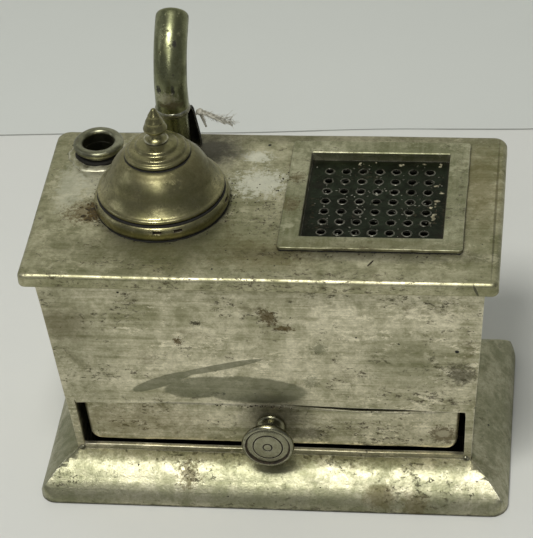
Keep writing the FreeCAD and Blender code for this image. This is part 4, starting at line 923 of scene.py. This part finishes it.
# ------------------------------------------------------------------ gooseneck
def carry(bm, ring, steps):
    """Draw a ring of edges along a row of moves, leaving its skin behind; gives the last ring."""
    for step in steps:
        made = bmesh.ops.extrude_edge_only(bm, edges=ring)["geom"]
        ring = [item for item in made if isinstance(item, bmesh.types.BMEdge)]
        verts = [item for item in made if isinstance(item, bmesh.types.BMVert)]
        bmesh.ops.transform(bm, matrix=step, verts=verts)
    return ring


def shrink_about(point, direction, share):
    """Scale across a direction about a point."""
    across = Matrix.Scale(share, 4) @ Matrix.Scale(1 / share, 4, direction)
    return Matrix.Translation(point) @ across @ Matrix.Translation(-point)


pipe_foot = foot_of("pipe_socket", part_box("gooseneck_pipe")[0].z)
PIPE_R, PIPE_BORE, STRAIGHT, BEND_R, BEND_TURN = 5.8, 5.25, 3.4, 26.0, 58.0
bend_start = pipe_foot + mm(0, 0, STRAIGHT)
bend_centre = bend_start + mm(0, BEND_R, 0)
bend_steps = 30
tilt = math.radians(BEND_TURN)
step_turn = (Matrix.Translation(bend_centre) @ Matrix.Rotation(-tilt / bend_steps, 4, "X")
             @ Matrix.Translation(-bend_centre))
out_way = Vector((0, math.sin(tilt), math.cos(tilt)))
bend_end = bend_centre + mm(0, -BEND_R * math.cos(tilt), BEND_R * math.sin(tilt))
moves = [Matrix.Translation(mm(0, 0, STRAIGHT / 3))] * 3 + [step_turn] * bend_steps
reach = 0.0
for advance, share in ((1.8, 1.0), (1.6, 1.0), (0.8, 0.985), (0.5, 0.95), (0.3, 0.90)):
    reach += advance * MM
    moves.append(shrink_about(bend_end + out_way * reach, out_way, share)
                 @ Matrix.Translation(out_way * advance * MM))
bm = bmesh.new()
rings = []
for radius in (PIPE_R, PIPE_BORE):
    made = bmesh.ops.create_circle(bm, cap_ends=False, segments=56, radius=radius * MM)
    bmesh.ops.translate(bm, verts=made["verts"], vec=pipe_foot)
    rings.append(list({edge for vert in made["verts"] for edge in vert.link_edges}))
ends = [carry(bm, ring, moves) for ring in rings]
bmesh.ops.bridge_loops(bm, edges=rings[0] + rings[1])
bmesh.ops.bridge_loops(bm, edges=ends[0] + ends[1])
bmesh.ops.remove_doubles(bm, verts=bm.verts, dist=0.001 * MM)
bmesh.ops.recalc_face_normals(bm, faces=bm.faces)
dent(bm, 0.14, 9.0, 14.0)
make_piece(bm, "gooseneck", "gooseneck", "drawn_tube", ["gooseneck_pipe", "pipe_outlet"], sharp=50)

# uneven rings of solder: one where the pipe meets its socket, one where the socket meets the deck
socket_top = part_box("pipe_socket")[1].z
joint = turned([(5.3, -1.4)] + bow((5.3, -1.4), (6.15, -0.3), (5.85, 1.1), 6) + [(5.4, 1.3)],
               Vector((pipe_foot.x, pipe_foot.y, pipe_foot.z)), rounds=72)
dent(joint, 0.28, 2.6, 16.0)
make_piece(joint, "pipe_solder", "gooseneck", "drawn_tube", finish=solder_finish, sharp=180)
base = turned([(5.1, -0.1), (8.2, -0.1), (7.6, 0.5), (6.4, 1.1), (5.6, 2.4), (5.1, 2.6)],
              Vector((pipe_foot.x, pipe_foot.y, deck_top)), rounds=72)
dent(base, 0.45, 2.6, 18.0)
make_piece(base, "socket_solder", "casing", "cast_collar", finish=solder_finish, sharp=180)

# ------------------------------------------------------------------ drawer
bm = merged_copy("drawer_front")
drawer_low, drawer_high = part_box("drawer_front")
ease_edges(bm, 0.45, lambda edge: min(vert.co.y for vert in edge.verts) < drawer_low.y + 0.4 * MM)
scribe(bm, (2.5, 0, 2.5))
dent(bm, 0.22, 13.0, 20.0)
# the panel's upper edge sags to the right of the knob
SAG_START, SAG_LENGTH, SAG_DEPTH, SAG_DROP = 4, 62, 9, 2.0
for vert in bm.verts:
    share = (vert.co.x / MM - SAG_START) / SAG_LENGTH
    upper = (vert.co.z - drawer_high.z) / (SAG_DEPTH * MM) + 1
    if 0 < share < 1 and upper > 0:
        vert.co.z -= SAG_DROP * MM * upper * math.sin(math.pi * share) ** 0.8
make_piece(bm, "drawer_panel", "ash_drawer", "plated_sheet", ["drawer_front"])

# ------------------------------------------------------------------ fire tray
frame_low, frame_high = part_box("fire_frame")
fire_centre = middle("fire_frame")
bm = merged_copy("fire_frame")


def tray_rim(edge):
    """The upper edges of the tray's frame, inside and out."""
    return min(vert.co.z for vert in edge.verts) > frame_high.z - 0.1 * MM


TRAY_HALF = 31
ease_edges(bm, 0.42, tray_rim, 3)
scribe(bm, (2.5, 2.5, 0))
for vert in bm.verts:
    away = vert.co - fire_centre
    outer = max(0.0, max(abs(away.x), abs(away.y)) / (TRAY_HALF * MM) - 0.85) / 0.15
    wave = noise.noise(vert.co / (13 * MM)) + 0.5 * noise.noise(vert.co / (4.5 * MM))
    front = max(0.0, -away.y / (TRAY_HALF * MM))
    vert.co.z += outer * (0.22 * wave + 0.25 * front) * MM
    if abs(away.y) > 30 * MM:
        vert.co.y += 0.25 * noise.noise(Vector((vert.co.x / (7 * MM), 0, 0))) * MM
    if abs(away.x) > 30 * MM:
        vert.co.x += 0.30 * noise.noise(Vector((0, vert.co.y / (9 * MM), 0))) * MM
make_piece(bm, "tray_frame", "fire_tray", "fire_frame_plate", ["fire_frame"])

bm = merged_copy("fire_basket")
scribe(bm, (3.0, 3.0, 2.0))
dent(bm, 0.14, 7.0, 22.0)
make_piece(bm, "tray_basket", "fire_tray", "fire_frame_plate", ["fire_basket"])

# each grate hole was punched from below and keeps a low, worn burr
grate_low, grate_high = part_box("grate_plate")
PITCH, HOLE_R, ROWS = 5.8, 1.5, 7
bm = bmesh.new()
for row in range(ROWS):
    for column in range(ROWS):
        burr = turned([(HOLE_R - 0.02, -0.35), (HOLE_R + 0.42, -0.04), (HOLE_R + 0.24, 0.10),
                       (HOLE_R - 0.06, 0.10)], Vector(), rounds=14)
        mesh = bpy.data.meshes.new("burr")
        dent(burr, 0.16, 1.1, row * 3.1 + column * 1.7)
        spot = mm((column - ROWS // 2) * PITCH, (row - ROWS // 2) * PITCH, 0)
        bmesh.ops.translate(burr, verts=burr.verts,
                            vec=Vector((fire_centre.x, fire_centre.y, grate_high.z)) + spot)
        burr.to_mesh(mesh)
        burr.free()
        bm.from_mesh(mesh)
        bpy.data.meshes.remove(mesh)
make_piece(bm, "grate_burrs", "fire_tray", "sooty_grate", finish=burr_finish, sharp=70)


# ------------------------------------------------------------------ dirt, residue and painted shadow
def crumbs(name, body, slot, finish, spots, seed, size=(0.18, 0.5), flat=0.45):
    """Small crumbs lying at spots in mm, for dirt, ash and soot, and for a row of painted shadow."""
    chance = random.Random(seed)
    bm = bmesh.new()
    for spot in spots:
        grain = chance.uniform(*size)
        lump(bm, spot, grain, (chance.uniform(0.8, 1.7), chance.uniform(0.6, 1.2), flat),
             chance.uniform(0, 180), level=1)
    return make_piece(bm, name, body, slot, finish=finish, sharp=180)


def ring_spots(centre, radius, level, count, seed, start, end, spread):
    """Spots strewn along an arc, in mm."""
    chance = random.Random(seed)
    spots = []
    for _ in range(count):
        angle = math.radians(chance.uniform(start, end))
        reach = radius + chance.gauss(0, spread)
        spots.append((centre.x / MM + reach * math.cos(angle),
                      centre.y / MM + reach * math.sin(angle), level))
    return spots


def strewn_spots(centre, reach, count, seed):
    """Spots strewn about a centre, in mm, thinning out with distance."""
    chance = random.Random(seed)
    return [tuple(c + chance.gauss(0, r / 2) for c, r in zip(centre, reach)) for _ in range(count)]


DECK = deck_top / MM
boiler = middle("seat_ring")
deck_spots = []
for centre, radius, count, seed, start, end, spread in (
        (boiler, 23.5, 90, 1, 0.0, 360.0, 0.5), (boiler, 24.6, 60, 2, 150, 215, 1.0),
        (boiler, 25.0, 40, 3, 330, 395, 1.0), (bead_foot, 11.2, 50, 4, 0.0, 360.0, 0.5)):
    deck_spots += ring_spots(centre, radius, DECK, count, seed, start, end, spread)
for right, back, reach, count, seed in (
        (8, -28, (16, 5, 0), 46, 5), (2, -6, (7, 12, 0), 30, 6), (4, 12, (9, 9, 0), 36, 7),
        (36, -28.0, (30, 1.2, 0), 40, 8)):
    deck_spots += strewn_spots((right, back, DECK), reach, count, seed)
crumbs("deck_dirt", "casing", "deck_sheet", dirt_finish, deck_spots, 9, (0.10, 0.34))

# painted shadow: a row of near-black crumbs on the deck under the tray frame's lifted front edge
under_tray = [(6.5 + 0.55 * number, frame_low.y / MM + 0.15, DECK + 0.1) for number in range(110)]
crumbs("tray_painted_shadow", "casing", "deck_sheet", painted_shade_finish, under_tray, 33, (0.22, 0.42), 0.6)

# brown crust against the left foot of the boiler seat
bm = bmesh.new()
chance = random.Random(17)
for number in range(26):
    angle = math.radians(chance.uniform(184, 205))
    reach = 23.6 + abs(chance.gauss(0, 1.7))
    spot = (boiler.x / MM + reach * math.cos(angle), boiler.y / MM + reach * math.sin(angle), DECK)
    lump(bm, spot, chance.uniform(0.4, 1.0), (1.4, 0.9, 0.55), chance.uniform(0, 180))
make_piece(bm, "seat_crust", "casing", "deck_sheet", finish=crust_finish, sharp=180)

# white and grey ash left on the grate, most of it at the right and along the front
fire_x, fire_y, grate_level = fire_centre.x / MM, fire_centre.y / MM, grate_high.z / MM
ash = []
for right, back, reach, count, seed in (
        (20.2, -3, (1.6, 6, 0), 10, 18), (19.5, -9, (1.2, 3, 0), 6, 19),
        (20.5, 9, (2.0, 6, 0), 6, 20), (3, -22.0, (22, 0.8, 0), 22, 21),
        (0, 21.5, (26, 1.2, 0), 14, 22)):
    ash += strewn_spots((fire_x + right, fire_y + back, grate_level), reach, count, seed)
crumbs("ash", "fire_tray", "sooty_grate", ash_finish, ash, 23, (0.14, 0.75), 0.25)
soot = [spot for spot in strewn_spots((fire_x, fire_y, grate_level), (26, 26, 0), 150, 24)
        if max(abs(spot[0] - fire_x), abs(spot[1] - fire_y)) < 23]
crumbs("soot", "fire_tray", "sooty_grate", grate_finish, soot, 25, (0.15, 0.40), 0.5)

# dirt under the drawer opening's upper edge
lintel = [(spot[0], -34.9, spot[2]) for spot in
          strewn_spots((-6, 0, 38.6), (16, 0, 0.5), 30, 26)]
crumbs("lintel_dirt", "casing", "plated_sheet", dirt_finish, lintel, 27, (0.14, 0.36), 0.8)

# a splinter lying in front of the fire tray
bm = bmesh.new()
lump(bm, (37.4, -31.8, DECK + 0.15), 0.32, (6.0, 0.8, 0.7), 61)
make_piece(bm, "splinter", "casing", "deck_sheet", finish=dirt_finish, sharp=180)


def strand(bm, root, heading, length, radius, fall, steps=9, sides=6, taper=0.88):
    """One drooping strand of thread, thinner towards its end; sizes in mm."""
    ring = bmesh.ops.create_circle(bm, cap_ends=True, segments=sides, radius=radius * MM)["verts"]
    bmesh.ops.rotate(bm, verts=ring, matrix=heading.to_track_quat("Z", "Y").to_matrix())
    bmesh.ops.translate(bm, verts=ring, vec=root * MM)
    edges = list({edge for vert in ring for edge in vert.link_edges})
    place, moves = root * MM, []
    for _ in range(steps):
        turned_to = (heading + Vector((0, 0, fall))).normalized()
        shift = turned_to * length / steps * MM
        place = place + shift
        moves.append(shrink_about(place, turned_to, taper) @ Matrix.Translation(shift))
        heading = turned_to
    last = carry(bm, edges, moves)
    bmesh.ops.holes_fill(bm, edges=last, sides=0)


# a frayed scrap of packing thread caught behind the pipe's socket
bm = bmesh.new()
chance = random.Random(31)
knot = Vector((-27.2, 35.0, 113.6))
for way, length, radius, fall in (
        ((1.0, 0.1, -0.26), 13, 0.9, -0.06), ((1.0, -0.1, -0.38), 10, 0.7, -0.02),
        ((0.25, 0.1, -1.0), 7, 0.65, 0.0), ((-0.9, 0.0, -0.1), 4, 0.8, -0.2)):
    strand(bm, knot, Vector(way).normalized(), length, radius, fall, taper=0.93)
lump(bm, tuple(knot), 1.3, (1.1, 0.8, 1.0))
for _ in range(90):
    along_tail = chance.random()
    root = knot + Vector((12 * along_tail, 0.5 * along_tail, -4.6 * along_tail))
    root += Vector([chance.gauss(0, 0.35) for _ in range(3)])
    way = Vector((0.8, chance.gauss(0, 0.5), chance.gauss(-0.2, 0.7))).normalized()
    strand(bm, root, way, chance.uniform(1.2, 4.0), 0.11, chance.gauss(-0.05, 0.1), 4, 3)
bmesh.ops.recalc_face_normals(bm, faces=bm.faces)
make_piece(bm, "thread_scrap", "casing", "dark_iron", finish=thread_finish, sharp=180)


# ------------------------------------------------------------------ studio
def stage_piece(name, bm, material):
    mesh = bpy.data.meshes.new(name)
    bm.to_mesh(mesh)
    bm.free()
    mesh.materials.append(material)
    piece = bpy.data.objects.new(name, mesh)
    scene.collection.objects.link(piece)
    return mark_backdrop(piece)


def plain_paint(name, colour, roughness):
    material = bpy.data.materials.new(name)
    material.use_nodes = True
    w = Wiring(material.node_tree)
    shader = material.node_tree.nodes["Principled BSDF"]
    faint = w.noise(w.place_in_mm(), 90.0, 3.0)
    shade = tuple(channel * 0.96 for channel in colour[:3]) + (1.0,)
    w.feed(shader.inputs["Base Color"], w.colour_mix(faint, colour, shade))
    shader.inputs["Roughness"].default_value = roughness
    shader.inputs["Specular IOR Level"].default_value = 0.2
    return material


TABLE_BACK, BACKDROP_PLACE = 0.186, 0.56
TABLE_TURN = Matrix.Rotation(math.radians(2.7), 3, "Z")
table = bmesh.new()
bmesh.ops.create_grid(table, x_segments=1, y_segments=1, size=1.5)
bmesh.ops.translate(table, verts=table.verts, vec=(0, -1.5 + TABLE_BACK, 0))
bmesh.ops.rotate(table, verts=table.verts, matrix=TABLE_TURN)
stage_piece("table_top", table, plain_paint("pale_table", rgb(218, 219, 214), 0.55))
shelf = bmesh.new()
bmesh.ops.create_grid(shelf, x_segments=1, y_segments=1, size=1.5)
bmesh.ops.translate(shelf, verts=shelf.verts, vec=(0, TABLE_BACK + 1.35, -2.5 * MM))
stage_piece("sheet_behind", shelf, plain_paint("pale_sheet", rgb(212, 215, 210), 0.6))
# painted shadow: a thin grey strip along the table's back edge, standing for the shade of that edge
shade_line = bmesh.new()
bmesh.ops.create_grid(shade_line, x_segments=60, y_segments=1, size=0.3)
bmesh.ops.scale(shade_line, vec=(1, 0.0011, 1), verts=shade_line.verts)
bmesh.ops.translate(shade_line, verts=shade_line.verts, vec=(0, TABLE_BACK, 0.15 * MM))
for vert in shade_line.verts:
    vert.co.y += 1.2 * MM * noise.noise(Vector((vert.co.x / 0.06, 0, 0)))
bmesh.ops.rotate(shade_line, verts=shade_line.verts, matrix=TABLE_TURN)
stage_piece("table_edge_shadow", shade_line, plain_paint("seam_shadow", rgb(150, 152, 146), 0.9))
wall = bmesh.new()
bmesh.ops.create_grid(wall, x_segments=1, y_segments=1, size=1.5)
bmesh.ops.rotate(wall, verts=wall.verts, matrix=Matrix.Rotation(math.radians(80), 3, "X"))
bmesh.ops.translate(wall, verts=wall.verts, vec=(0, BACKDROP_PLACE, 1.45))
stage_piece("pale_backdrop", wall, plain_paint("pale_wall", rgb(226, 227, 223), 0.8))


def soft_light(name, spot, aim, width, height, power, tint=(1.0, 1.0, 1.0)):
    lamp = bpy.data.lights.new(name, "AREA")
    lamp.shape = "RECTANGLE"
    lamp.size, lamp.size_y = width, height
    lamp.energy = power
    lamp.color = tint
    holder = bpy.data.objects.new(name, lamp)
    holder.location = spot
    holder.rotation_euler = (Vector(aim) - Vector(spot)).to_track_quat("-Z", "Y").to_euler()
    scene.collection.objects.link(holder)


soft_light("overhead_window", (-0.12, -0.46, 1.10), (0, 0, 0.05), 0.36, 0.30, 8.4, (1.0, 0.99, 0.95))
soft_light("front_window", (-0.02, -1.10, 0.95), (0, 0, 0.06), 0.24, 0.42, 1.5, (1.0, 0.995, 0.96))
soft_light("left_fill", (-1.2, -0.1, 0.6), (0, 0, 0.06), 0.5, 0.7, 0.7, (0.95, 0.98, 1.0))

sky = bpy.data.worlds.new("studio_air")
sky.use_nodes = True
sky.node_tree.nodes["Background"].inputs[0].default_value = (0.86, 0.88, 0.90, 1.0)
sky.node_tree.nodes["Background"].inputs[1].default_value = 0.22
scene.world = sky

camera_data = bpy.data.cameras.new("view")
camera_data.sensor_fit = "HORIZONTAL"
camera_data.sensor_width = 36.0
camera_data.lens = 169.67
camera = bpy.data.objects.new("view", camera_data)
camera.location = (0.10482, -0.68207, 0.60988)
aim = Vector((-0.002298, 0.0, 0.07170)) - camera.location
roll = Quaternion((0, 0, 1), math.radians(-4.314))
camera.rotation_mode = "QUATERNION"
camera.rotation_quaternion = aim.to_track_quat("-Z", "Y") @ roll
scene.collection.objects.link(camera)
scene.camera = camera
scene.view_settings.view_transform = "Standard"
